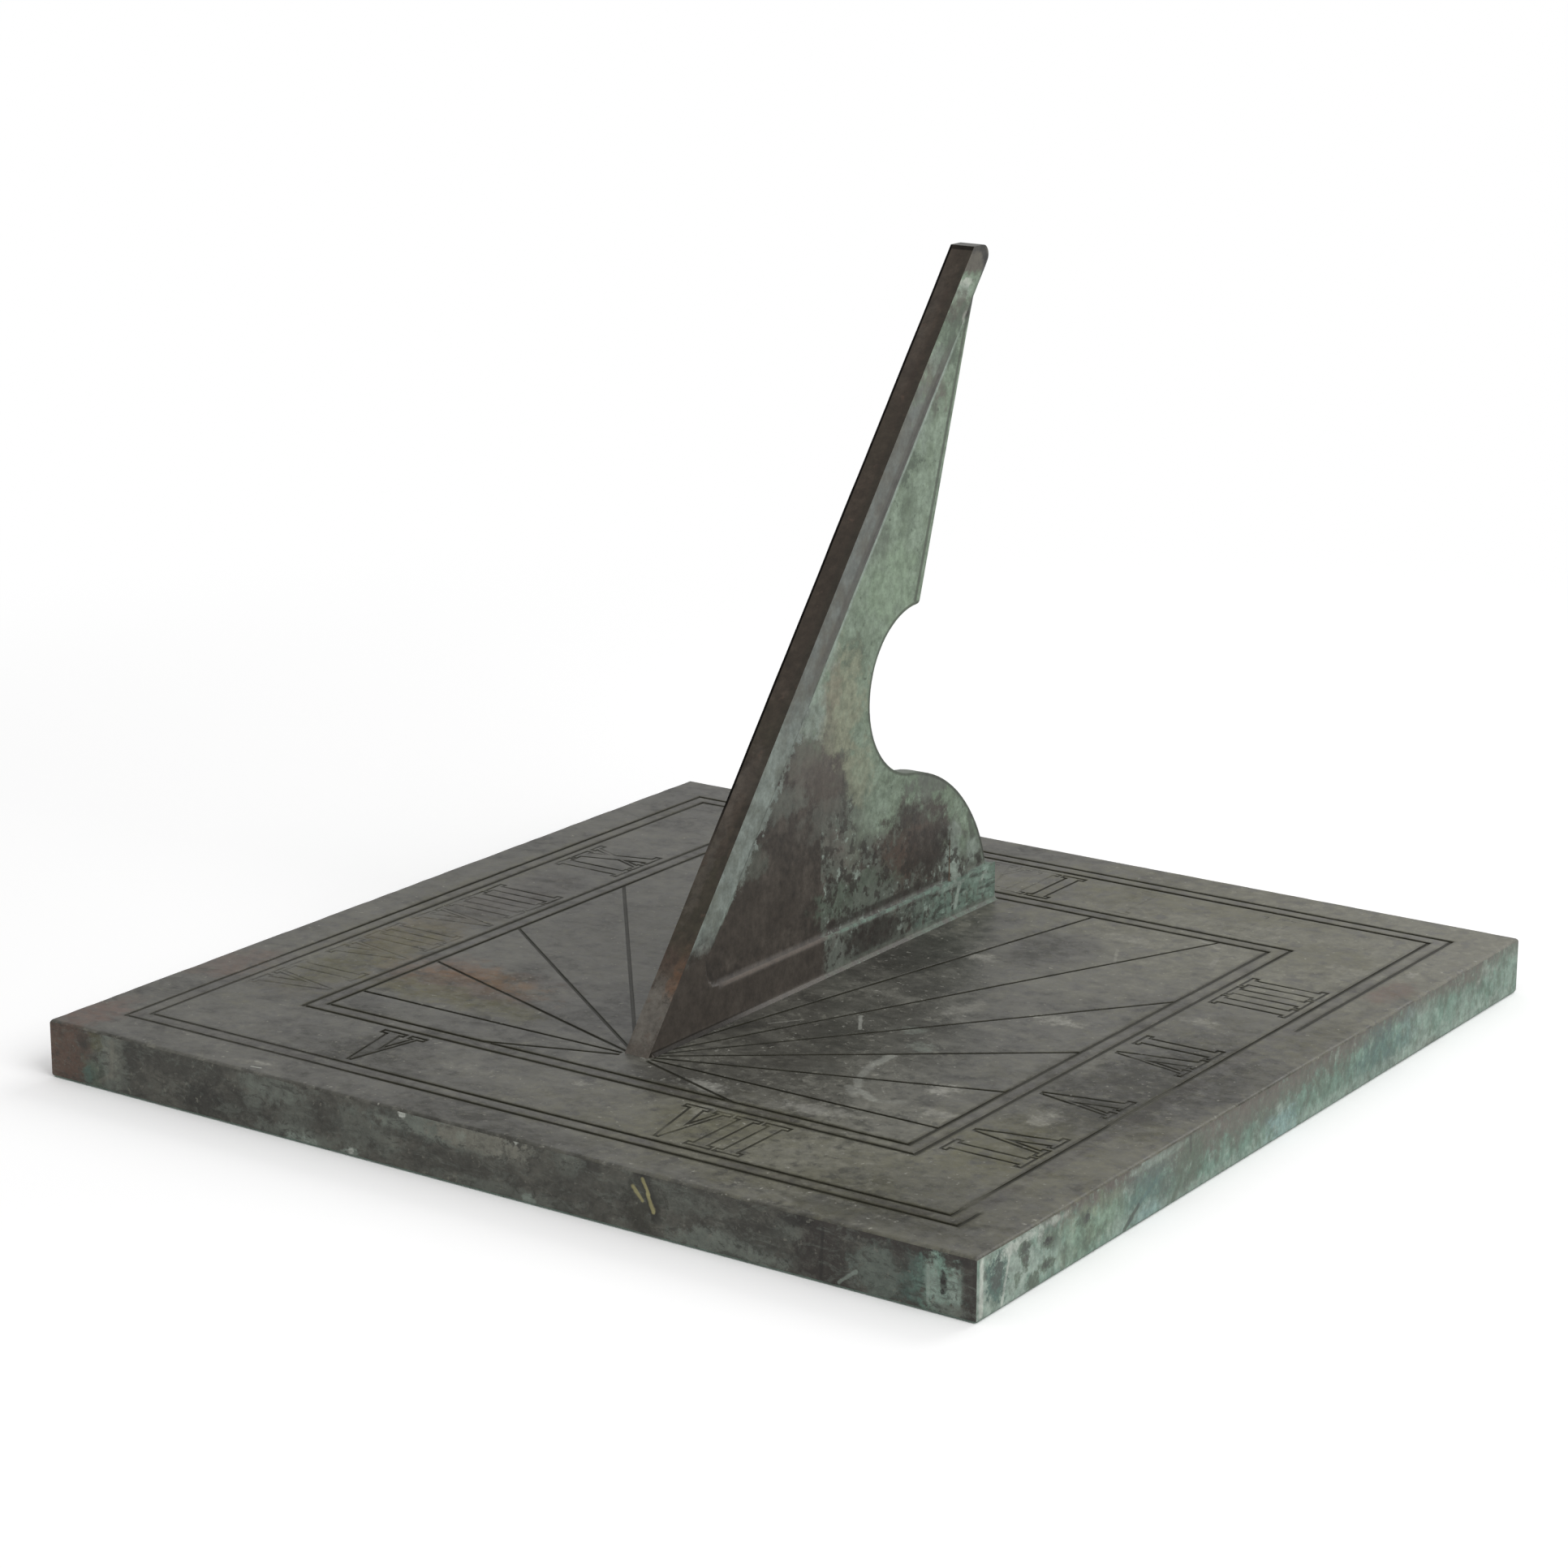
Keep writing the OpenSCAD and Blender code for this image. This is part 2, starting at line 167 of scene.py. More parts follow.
# A material painted in layers over one colour. Lengths in it are millimetres.
class Finish(Nodes):
    def __init__(self, name):
        self.material = bpy.data.materials.new(name)
        self.material.use_nodes = True
        super().__init__(self.material.node_tree)
        self.shader = self.tree.nodes["Principled BSDF"]
        coord = self.node("ShaderNodeTexCoord")
        self.place = self.vector("SCALE", coord.outputs["Object"], scale=1 / mm)
        self.x, self.y, self.z = self.split(self.place)
        self.color = None

    # Cloudy noise around 0.5, whose lumps are about size across; each seed gives other clouds
    def clouds(self, size, seed=0, detail=4.0, rough=0.55, stretch=(1, 1, 1), twist=0.0):
        moved = (seed * 37.1, seed * 17.3, seed * 51.7)
        made = self.node("ShaderNodeTexNoise")
        look = {
            "Vector": self.vector("MULTIPLY_ADD", self.place, [1 / s for s in stretch], moved),
            "Scale": 1 / size, "Detail": detail, "Roughness": rough, "Distortion": twist,
        }
        for name, value in look.items():
            self.wire(value, made.inputs[name])
        return made.outputs[0]

    # The same noise spread over 0 to 1
    def lumps(self, size, seed, low, high, **look):
        return self.step(self.clouds(size, seed, **look), low, high)

    # 1 where the noise is high enough, which is over about the share given
    def cover(self, clouds, share, soft=0.05):
        level = 0.5 + 0.42 * (0.5 - share)
        return self.step(clouds, level - soft, level + soft)

    def mottle(self, size, seed, share, soft=0.05, **look):
        return self.cover(self.clouds(size, seed, **look), share, soft)

    # The place as seen on a face, scaled and moved
    def seen(self, axes, scale, move):
        return self.vector("MULTIPLY_ADD", self.place, spread(axes, scale), spread(axes, move))

    # Distance from a centre, in radii
    def reach(self, axes, centre, radii):
        scale = (1 / radii[0], 1 / radii[1])
        moved = (-centre[0] * scale[0], -centre[1] * scale[1])
        return self.vector("LENGTH", self.seen(axes, scale, moved))

    # Distance from a straight stroke between two points
    def strokeReach(self, axes, start, end):
        run, rise = end[0] - start[0], end[1] - start[1]
        square = run * run + rise * rise
        away = self.seen(axes, (1, 1), (-start[0], -start[1]))
        along = self.vector("DOT_PRODUCT", away, spread(axes, (run / square, rise / square)))
        along = self.calc("MINIMUM", self.calc("MAXIMUM", along, 0.0), 1.0)
        nearest = self.vector("SCALE", spread(axes, (run, rise)), scale=along)
        return self.vector("DISTANCE", away, nearest)

    def between(self, mask, one, other):
        return self.mix(mask, tint(one), tint(other))

    def lay(self, mask, color):
        self.color = self.mix(mask, self.color, color)

    # Lays a tone over the colour where the mask says
    def coat(self, mask, name, strength=1.0):
        if strength != 1:
            mask = self.calc("MULTIPLY", mask, strength)
        self.lay(mask, tint(name))

    # Stains over the colour: a tone, then the centre, the radii and how strongly each covers
    def addStains(self, axes, stains, seed, lumps=4.0, ragged=1.2, soft=0.35):
        edge = self.lumps(lumps, seed, 0.25, 0.75, detail=6, rough=0.75)
        edge = self.plus(-ragged / 2, edge, ragged)
        broken = self.lumps(lumps * 0.5, seed + 100, 0.3, 0.6, detail=4, rough=0.7)
        broken = self.plus(0.6, broken, 0.5)
        for name, *places in stains:
            for *place, strength in places:
                far = self.calc("ADD", self.reach(axes, place[:2], place[2:]), edge)
                self.coat(self.both(self.step(far, 1 + soft, 1 - soft, strength), broken), name)

    # Scratches and runs: a tone, then the two ends, the width and how strongly each covers
    def addStrokes(self, axes, strokes, seed, lumps=2.5, ragged=0.8):
        edge = self.plus(1 - ragged, self.clouds(lumps, seed, rough=0.65), 2 * ragged)
        for name, *places in strokes:
            for *ends, width, strength in places:
                far = self.both(self.strokeReach(axes, ends[:2], ends[2:]), edge)
                self.coat(self.step(far, width * 0.75, width * 0.25, strength), name)

    def done(self, roughness, height, bumpDepth):
        bump = self.node("ShaderNodeBump")
        bump.inputs["Strength"].default_value = 1.0
        bump.inputs["Distance"].default_value = bumpDepth * mm
        self.wire(height, bump.inputs["Height"])
        self.wire(bump.outputs["Normal"], self.shader.inputs["Normal"])
        self.wire(self.color, self.shader.inputs["Base Color"])
        self.wire(roughness, self.shader.inputs["Roughness"])
        return self.material

    # Ends a finish: uneven in tone, finely pitted, dry where it is pale and smoother in the dark
    def weathered(self, depth, sheen=0.3, darkRough=0.40, paleRough=0.82, uneven=0.6):
        shade = self.plus(1 - uneven, self.clouds(3.0, 93, detail=5, rough=0.72), 2 * uneven)
        self.color = self.vector("SCALE", self.color, scale=self.calc("MAXIMUM", shade, 0.3))
        light = self.node("ShaderNodeRGBToBW")
        self.wire(self.color, light.inputs[0])
        dry = self.step(light.outputs[0], 0.05, 0.22)
        grain = self.clouds(0.9, 91, detail=3, rough=0.6)
        pits = self.clouds(3.5, 92, detail=3, rough=0.6)
        self.wire(sheen, self.shader.inputs["Specular IOR Level"])
        roughness = self.blend(dry, darkRough, paleRough)
        return self.done(roughness, self.plus(pits, grain, 0.35), depth)


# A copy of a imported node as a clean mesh, with flat faces joined again
def castingForm(node):
    form = bmesh.new()
    form.from_mesh(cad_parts[node].data)
    bmesh.ops.remove_doubles(form, verts=form.verts, dist=0.002 * mm)
    bmesh.ops.dissolve_degenerate(form, edges=form.edges, dist=0.02 * mm)
    flat = math.radians(0.5)
    bmesh.ops.dissolve_limit(form, angle_limit=flat, verts=form.verts, edges=form.edges)
    return form


# Cuts a form along a grid of planes, so that its flat faces can be uneven
def sliceForm(form, low, high, steps):
    for axis, step in enumerate(steps):
        if not step:
            continue
        normal = Vector([float(axis == i) for i in range(3)])
        level = low[axis] + step / 2
        while level < high[axis]:
            every = form.verts[:] + form.edges[:] + form.faces[:]
            bmesh.ops.bisect_plane(
                form, geom=every, dist=1e-7, plane_co=normal * level, plane_no=normal,
            )
            level += step


def roundEdges(form, edges, width, segments):
    bmesh.ops.bevel(
        form, geom=edges, offset=width, offset_type="OFFSET", segments=segments,
        profile=0.5, affect="EDGES", clamp_overlap=False,
    )


def sharpEdges(form, angle, keep):
    return [
        edge for edge in form.edges
        if len(edge.link_faces) == 2 and edge.calc_face_angle() > angle and keep(edge)
    ]


# Makes the piece from its form, hides the node that it stands for and hangs the piece under the
# root body
def finishPiece(name, form, node, materials, choose):
    mesh = bpy.data.meshes.new(name)
    form.to_mesh(mesh)
    form.free()
    for material in materials:
        mesh.materials.append(material)
    for face in mesh.polygons:
        face.use_smooth = True
        face.material_index = choose(face)
    mesh.set_sharp_from_angle(angle=smoothAngle)
    piece = bpy.data.objects.new(name, mesh)
    bpy.context.scene.collection.objects.link(piece)
    even = piece.modifiers.new("evenShading", "WEIGHTED_NORMAL")
    even.keep_sharp = True
    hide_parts(node)
    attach(piece, "root")
    print(name, "made with", len(mesh.polygons), "faces")
    return piece


def smooth(value, low, high):
    t = min(max((value - low) / (high - low), 0), 1)
    return t * t * (3 - 2 * t)


plateLow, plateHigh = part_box("dial_plate")
gnomonLow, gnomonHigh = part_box("gnomon")
screws = ("screw_south", "screw_middle", "screw_north")
plateTop = plateHigh.z / mm
toe = gnomonLow.y / mm
latitude = math.radians(51.5)
sharpAngle = math.radians(30)  # edges sharper than this are rounded
smoothAngle = math.radians(38)  # faces that meet flatter than this are shaded as one

# Where the engraving lies, in mm from the dial's middle
engraving = {
    "band": (104, 130.5),  # the numerals' band, between the frames
    "framesMiddle": 117.5,  # halfway between the two double frames
    "frameAway": 17.5,  # from there to the middle of each frame
    "lineAway": 2.5,  # from a frame's middle to each of its lines
    "outerLine": 135.2,  # past this there is only the outermost line,
    "gone": (-127, 38),  # which is worn off on the east side between these
    "depth": 0.6,  # as the node has it
}


def swell(place, waves):
    return sum(high * noise.noise(place / size) for size, high in waves)


# 1 between two values, with soft ends
def within(value, low, high, soft=4.0):
    return smooth(value, low - soft, low) * (1 - smooth(value, high, high + soft))


# How worn the engraving is, 0 to 1, at a place in mm
def engravingWear(x, y):
    patchy = min(max(0.5 + 1.1 * noise.noise(Vector((x, y, 0)) / 13), 0), 1)
    fine = min(max(0.5 + 1.3 * noise.noise(Vector((y, x, 5)) / 3.5), 0), 1)
    wear = 0.1 + 0.25 * patchy
    inner, outer = engraving["band"]
    if -outer < x < -inner:  # the west band
        wear = 0.35 + 0.3 * patchy + 0.25 * fine
        wear = max(wear, 0.9 * within(y, -105, 5, 10) - 0.15 * fine)
    elif abs(y) < inner < x < outer:  # the east band
        wear = 0.2 + 0.3 * patchy + 0.3 * fine
    elif inner < y < outer and abs(x) < outer:  # the north band
        wear = max(1 - smooth(x, 5, 9), smooth(x, 14, 24)) * 0.65 + 0.2 + 0.15 * patchy
    elif -outer < y < -inner and 0 < x < outer:  # the south band's east half
        wear = 0.3 + 0.3 * patchy + 0.2 * fine
    elif x > engraving["outerLine"]:
        wear = max(wear, 0.97 * within(y, *engraving["gone"]))
    elif min(x, y) < -outer:
        wear = max(wear, 0.6 * smooth(-x - y, 150, 220))
    elif x > outer:
        wear = 0.1 + 0.3 * patchy + 0.6 * max(within(y, -55, -22), within(y, -130, -113))
    return min(wear, 1)


plateShape = {
    "slice": 4.0 * mm,
    "rim": 1.0 * mm,  # width of the outermost edge, which alone is knocked back
    "seat": 1.5 * mm,  # height over the lower face that stays true
    "edgeRound": 0.4 * mm,
    "waves": ((26 * mm, 0.05 * mm), (7 * mm, 0.012 * mm)),  # size of the swells and their height
    "waveMost": 0.05 * mm,
    "edgeWear": 0.45 * mm,  # how far the edges are knocked back
    "edgeWearSize": 6.0 * mm,
    "edgeWearDepth": 1.5 * mm,
    "lip": 0.28 * mm,  # how far the engraving's edges are broken
    "groove": (0.01 * mm, 0.42 * mm),  # depth of the engraving where it is quite worn and isn't
}


def makePlate(materials):
    shape = plateShape
    form = castingForm("dial_plate")
    outer = plateHigh.x - shape["rim"]
    top = plateHigh.z
    away = lambda place: max(abs(place.x), abs(place.y))
    rim = lambda edge: min(away(v.co) for v in edge.verts) > outer
    roundEdges(form, sharpEdges(form, sharpAngle, rim), shape["edgeRound"], 2)
    level = lambda place: abs(place.z - top) < 0.01 * mm
    lip = lambda edge: all(level(v.co) and away(v.co) < outer for v in edge.verts)
    roundEdges(form, sharpEdges(form, sharpAngle, lip), shape["lip"], 1)
    sliceForm(form, plateLow, plateHigh, (shape["slice"], shape["slice"], 0))
    form.normal_update()
    engraved = form.verts.layers.float.new("engraved")
    deepest = engraving["depth"] * mm
    least, full = shape["groove"]
    for vert in form.verts:
        place = vert.co.copy()
        inside = away(place) < outer
        if place.z < shape["seat"] or inside and place.z < top - deepest - 0.1 * mm:
            continue
        if inside:
            share = (top - place.z) / deepest
            kept = 1 - engravingWear(place.x / mm, place.y / mm)
            vert[engraved] = share * kept
            vert.co.z = top - share * (least + kept * (full - least))
        wave = swell(Vector((place.x, place.y, 0)), shape["waves"])
        vert.co.z += min(wave, shape["waveMost"])
        if not inside and place.z > top - shape["edgeWearDepth"]:
            atArris = max(noise.noise(place / shape["edgeWearSize"]), 0) * shape["edgeWear"]
            vert.co -= vert.normal * atArris

    def choose(face):
        x, y, z = face.normal
        if z > 0.4 or away(face.center) < outer and face.center.z > top - deepest:
            return 0
        if z < -0.5:
            return 5
        if abs(x) > abs(y):
            return 2 if x > 0 else 4
        return 3 if y > 0 else 1

    return finishPiece("dialSlab", form, "dial_plate", materials, choose)


# The gnomon's outline, in mm north of the dial's middle and up
outline = {
    "biteCentre": (52.2, 92.8),
    "biteRadius": 25.4,
    "shoulderCentre": (42.5, 17),
    "shoulderRadius": 51,
    "backEdge": ((50.5, 119.5), (77, 200.5)),
    "plinthHeight": 12,  # over the plate
    "bandWidth": 8.8,  # the raised band along the style
}

gnomonShape = {
    "slice": 1.6 * mm,
    "edgeRound": 0.5 * mm,
    "recessRound": 0.9 * mm,  # the sunk web's edge and the boss are softer
    "waves": ((17 * mm, 0.10 * mm), (5 * mm, 0.03 * mm)),
    "seat": 1.2 * mm,  # height over the plate that stays true,
    "seatFade": (-0.2 * mm, 2.0 * mm),  # and where that ends, from there
    "holes": (2.7 * mm, 26.5 * mm),  # how far out and how high the screw and dowel holes reach
    "webInside": 2.0 * mm,  # the web's faces lie farther out than this
    "bossFrom": (60 * mm, 30.5 * mm),  # the boss is let melt into the web from here,
    "bossReach": 48 * mm,  # as far as this from the shoulder's centre
    "bossSoft": 10,
}


def makeGnomon(materials):
    shape = gnomonShape
    form = castingForm("gnomon")
    seat = plateHigh.z + shape["seat"]
    above = lambda edge: min(v.co.z for v in edge.verts) > seat
    inmost = lambda part: min(abs(v.co.x) for v in part.verts)
    oneSided = lambda face: inmost(face) > shape["webInside"] and abs(face.normal.x) < 0.5
    recess = lambda edge: above(edge) and any(oneSided(face) for face in edge.link_faces)
    proud = lambda edge: recess(edge) and inmost(edge) > gnomonHigh.x - 0.05 * mm
    plain = lambda edge: above(edge) and not recess(edge)
    roundEdges(form, sharpEdges(form, sharpAngle, plain), shape["edgeRound"], 3)
    roundEdges(form, sharpEdges(form, sharpAngle, proud), shape["recessRound"], 3)
    sliceForm(form, gnomonLow, gnomonHigh, (0, shape["slice"], shape["slice"]))
    north, height = shape["bossFrom"]
    centre = [level * mm for level in outline["shoulderCentre"]]
    boss = [
        vert for vert in form.verts
        if abs(vert.co.x) > shape["webInside"] and vert.co.y > north and vert.co.z > height
        and math.dist(vert.co.yz, centre) < shape["bossReach"]
    ]
    for _ in range(shape["bossSoft"]):
        bmesh.ops.smooth_vert(form, verts=boss, factor=0.5, use_axis_x=True)
    form.normal_update()
    moves = {}
    holesOut, holesUp = shape["holes"]
    fade = [seat + level for level in shape["seatFade"]]
    for vert in form.verts:
        inside = abs(vert.co.x) < holesOut and vert.co.z < holesUp
        free = 0 if inside else smooth(vert.co.z, *fade)
        moves[vert] = vert.normal * swell(vert.co, shape["waves"]) * free
    for vert, move in moves.items():
        vert.co += move
        vert.co.x = min(max(vert.co.x, gnomonLow.x), gnomonHigh.x)
        vert.co.z = min(vert.co.z, gnomonHigh.z)

    facing = Vector((0, -math.sin(latitude), math.cos(latitude)))

    # The style's finish reaches farther round its west arris
    def choose(face):
        east = face.normal.x > -0.2
        if face.normal.dot(facing) > (0.75 if east else 0.3):
            return 2
        return 0 if east else 1

    return finishPiece("gnomonCasting", form, "gnomon", materials, choose)


# Stains on the dial: east and north of its middle, half width and half height in mm, and strength
topStains = [
    ("straw", (130, -30, 34, 140, 0.45), (70, -122, 70, 26, 0.4), (90, 118, 90, 46, 0.45)),
    ("ash",
        (126, 128, 80, 70, 0.8), (72, 75, 45, 50, 0.45), (140, 120, 20, 40, 0.4),
        (88, -88, 22, 16, 0.5),
    ),
    ("slateLight", (60, -62, 18, 14, 0.5)),
    ("ash", (62, -119, 24, 10, 0.4)),
    ("slateLight", (-130, -30, 20, 70, 0.75), (-60, 10, 30, 40, 0.35), (0, -118, 26, 10, 0.45)),
    ("slateDark",
        (124, -25, 26, 48, 0.85), (126, -122, 26, 16, 0.5), (120, 40, 26, 14, 0.35),
        (45, 62, 12, 17, 0.75), (56, -18, 18, 14, 0.15), (20, -94, 18, 9, 0.6),
        (42, -62, 12, 10, 0.6), (-34, -64, 18, 14, 0.75), (-62, -124, 26, 8, 0.35),
        # Those near the gnomon's foot darken the dial beside it, where the gnomon's reflection
        # falls
        (-92, -117, 16, 7, 0.5), (0, -146, 40, 6, 0.5), (16, 36, 15, 18, 0.75),
        (34, 12, 9, 7, 0.7), (30, -26, 17, 18, 0.4), (122, -142, 24, 8, 0.6),
        (10, -45, 5, 4, 0.7), (-142, 138, 16, 16, 0.6), (145, -10, 7, 30, 0.5),
        (-20, 128, 20, 8, 0.4),
    ),
    ("amber", (-80, -60, 26, 14, 0.9)),
    ("rust", (-84, -54, 13, 6, 0.3), (-66, -62, 14, 5, 0.2)),
    ("umber", (-92, -50, 10, 6, 0.5)),
    ("umberDark", (-60, -46, 12, 4, 0.6)),
    ("umber", (-72, -66, 24, 8, 0.6)),
    ("olive", (-82, -73, 20, 7, 0.8), (-54, -74, 14, 6, 0.7)),
    ("amber", (-118, -36, 12, 22, 0.5)),
    ("umber", (-117, -88, 11, 12, 0.4)),
    ("olive", (-117, -52, 12, 40, 0.75)),
    ("umber", (-118, 12, 10, 30, 0.55)),
    ("oliveDark", (-117, 32, 8, 16, 0.35), (-117, -10, 8, 12, 0.3)),
    ("olive",
        (-135, 20, 5, 90, 0.45), (118, -85, 12, 22, 0.6), (50, -118, 20, 12, 0.5),
        (112, 102, 16, 10, 0.4), (60, 128, 46, 9, 0.45), (-20, 110, 30, 9, 0.35),
    ),
    ("copper", (-146, -141, 8, 13, 0.9), (-143, -84, 9, 14, 0.65), (144, 84, 5, 10, 0.7)),
]

# Wisps of dust, in the same way
topWisps = [
    ("dust", (32, 45, 3.6, 2.8, 0.55), (80, 9, 7, 4, 0.65), (83, -58, 3.6, 3.6, 0.65)),
    ("fog", (60, -33, 3.4, 3, 0.7), (50, -22, 3, 2.6, 0.6)),
    ("dust",
        (112, 30, 6, 2.4, 0.5), (116, -62, 3.6, 5, 0.5), (64, -90, 7, 3, 0.4),
        (30, -92, 6, 3, 0.45), (94, -74, 6, 2.4, 0.45), (52, 2, 3, 7, 0.35), (128, 96, 9, 3, 0.3),
        (-30, -118, 8, 3, 0.3), (-98, 60, 3, 11, 0.25), (1, -109, 2.4, 2, 0.5),
        (-79, -146, 3.2, 1.4, 0.55), (142, 102, 1.2, 2.5, 0.4), (40, -104, 2, 6, 0.3),
        (70, -8, 12, 2, 0.25), (104, -14, 3, 9, 0.3), (56, 84, 9, 3, 0.3),
        (-132, -60, 5, 12, 0.2),
    ),
]

topScratches = [
    ("chalk", (31.5, -20, 37.5, -29.5, 1, 0.32)),
    ("dust",
        (60, 74, 66, 62, 1, 0.35), (72, 98, 84, 92, 1.6, 0.35), (88, 84, 91, 74, 1.6, 0.3),
        (20, -32, 14, -40, 0.8, 0.35),
    ),
    ("chalk", (-80, -149.5, -77, -149, 0.6, 0.6)),
]

# Where the dial shines more or less, laid out like stains
topSheen = [
    (-74, -62, 28, 15, -0.4), (122, -32, 22, 44, -0.45), (42, 60, 14, 18, -0.3),
    (-60, -122, 26, 10, -0.35), (118, -134, 26, 14, -0.3), (-117, -50, 9, 40, -0.25),
    (145, 0, 7, 60, -0.2), (0, -146, 40, 6, -0.25), (142, 142, 30, 30, 0.35),
    (146, 104, 8, 24, 0.25), (80, -60, 20, 16, 0.2),
]

# What is left of a ring where something wet stood
waterRing = [
    (57, -43, 56.8, -51, 2.8, 0.24), (56.8, -53, 58.8, -61, 2.4, 0.16),
    (60, -64, 63.6, -70, 2.2, 0.18), (65, -71, 71.5, -75, 2.4, 0.2),
    (73.5, -75, 79, -72, 2.4, 0.12), (60.5, -70, 66, -75, 2.2, 0.12),
]

# Engraving so full of dirt that it reads as solid
filledStrokes = [
    (116, -5, 130, -6.5, 3, 0.75), (117, -42, 130, -44.5, 3.4, 0.75),
    (112, -75, 129, -77, 2.6, 0.6), (-126, 31, -108, 33, 2.8, 0.5),
    (-126, 24, -108, 24, 2.4, 0.4), (-126, -8, -108, -10, 2.6, 0.45),
    (-127, 62, -109, 56, 2.4, 0.4), (-127, -30, -109, -28, 2.4, 0.4),
    (-66, -106, -61.5, -127, 3, 0.5), (8, 132.5, 20, 132, 2.2, 0.6),
    (44, 133, 64, 132.5, 2.4, 0.6), (84, 132.5, 98, 132.5, 2, 0.5),
    (-12, 103, 6, 102, 2.6, 0.6), (20, 100, 44, 101, 2.4, 0.5), (132.5, -8, 132.5, -36, 1.8, 0.6),
    (132.5, -58, 132.5, -98, 2, 0.7), (-102.5, -60, -97.5, 90, 2.6, 0.35),
]


def paintTop():
    paint = Finish("plateTop")
    x, y = paint.x, paint.y
    step, plus, both, off, coat = paint.step, paint.plus, paint.both, paint.off, paint.coat
    patches = paint.lumps(30, 1, 0.32, 0.68, detail=4, rough=0.6)
    smears = paint.lumps(8, 2, 0.3, 0.7, detail=5, rough=0.7, stretch=(1.5, 1, 1), twist=0.8)
    paint.color = paint.between(patches, "slateDark", "slateLight")
    paint.lay(0.55, paint.between(smears, "slateDark", "slateLight"))
    paint.addStains(onTop, topStains, 3, lumps=9, ragged=1.1, soft=0.45)
    coat(paint.mottle(5, 4, 0.3, 0.08, rough=0.7), "slateDark", 0.7)
    coat(paint.mottle(3.6, 5, 0.2, 0.06, rough=0.7), "ash", 0.5)
    coat(paint.mottle(1.6, 6, 0.07, 0.04), "dust", 0.6)
    paint.addStains(onTop, topWisps, 14, lumps=3.5, ragged=1.9, soft=0.6)

    # Both double frames at once: dirty between their lines, and dark in the lines themselves but
    # where they are worn off
    away = paint.most(paint.calc("ABSOLUTE", x), paint.calc("ABSOLUTE", y))
    frames = off(off(away, engraving["framesMiddle"]), engraving["frameAway"])
    lines = off(frames, engraving["lineAway"])
    frames = step(frames, 4.4, 2.4)
    east = step(x, engraving["outerLine"] - 0.8, engraving["outerLine"] + 0.2)
    south, north = engraving["gone"]
    gone = both(east, step(y, south - 1, south + 2))
    gone = both(gone, step(y, north + 2, north - 2))
    lines = both(step(lines, 1.8, 0.6), paint.calc("SUBTRACT", 1.0, gone))
    lines = both(lines, paint.lumps(5, 12, 0.25, 0.6, rough=0.7))
    corner = step(paint.calc("ADD", x, y), -140, -215)
    corner = both(corner, step(away, 128, 131))
    lines = both(lines, plus(1.0, corner, -0.75))
    coat(both(frames, paint.lumps(7, 11, 0.35, 0.6, rough=0.7)), "umberDark", 0.5)
    paint.addStrokes(onTop, topScratches, 7)
    paint.addStrokes(onTop, [("oliveDark", *filledStrokes)], 9)
    paint.addStrokes(onTop, [("chalk", *waterRing)], 8)
    engraved = paint.node("ShaderNodeAttribute", attribute_name="engraved").outputs["Fac"]
    coat(lines, "olive", 0.5)
    coat(lines, "oliveDark", 0.55)
    coat(step(engraved, 0.0, 0.5), "oliveDark", 0.94)

    # Patches that shine more or less: seen this low, most of the dial's light is mirrored
    sheen = plus(both(patches, 0.25), smears, 0.5)
    sheen = plus(sheen, paint.mottle(3.2, 10, 0.5, 0.12, rough=0.7), 0.25)
    edge = paint.lumps(8, 13, 0.25, 0.75, detail=5, rough=0.7)
    for *place, amount in topSheen:
        far = paint.calc("ADD", paint.reach(onTop, place[:2], place[2:]), edge)
        sheen = plus(sheen, step(far, 1.9, 0.9), amount)
    dull = plus(1.0, lines, -0.7)
    sheen = both(paint.most(sheen, 0.0), step(engraved, 0.25, 0.0), dull)
    return paint.weathered(0.05, sheen=paint.blend(sheen, 0.12, 0.62), uneven=0.7)


# The slab's sides: dark patina, runs down them and green growth over the share given
def paintSide(name, seed, dark, light, growth, share, stretch=(1, 1, 2.4)):
    paint = Finish(name)
    runs = paint.clouds(4.5, seed, detail=5, rough=0.62, stretch=stretch)
    paint.color = paint.between(paint.step(runs, 0.32, 0.68), dark, light)
    lumps = paint.lumps(9, seed + 1, 0.3, 0.7, rough=0.65, stretch=(1, 1, 0.7))
    paint.lay(0.5, paint.between(lumps, dark, light))
    grown = paint.plus(paint.both(paint.clouds(14, seed + 2), 0.5), runs, 0.5)
    paint.coat(paint.cover(grown, share), growth, 0.8)
    return paint, runs


# Darker along the bottom, where the side meets what it stands on
def darkFoot(paint, strength=0.6):
    low = paint.step(paint.plus(paint.z, paint.clouds(3, 95), 2.0), 1.9, 1.1)
    paint.coat(low, "soot", strength)


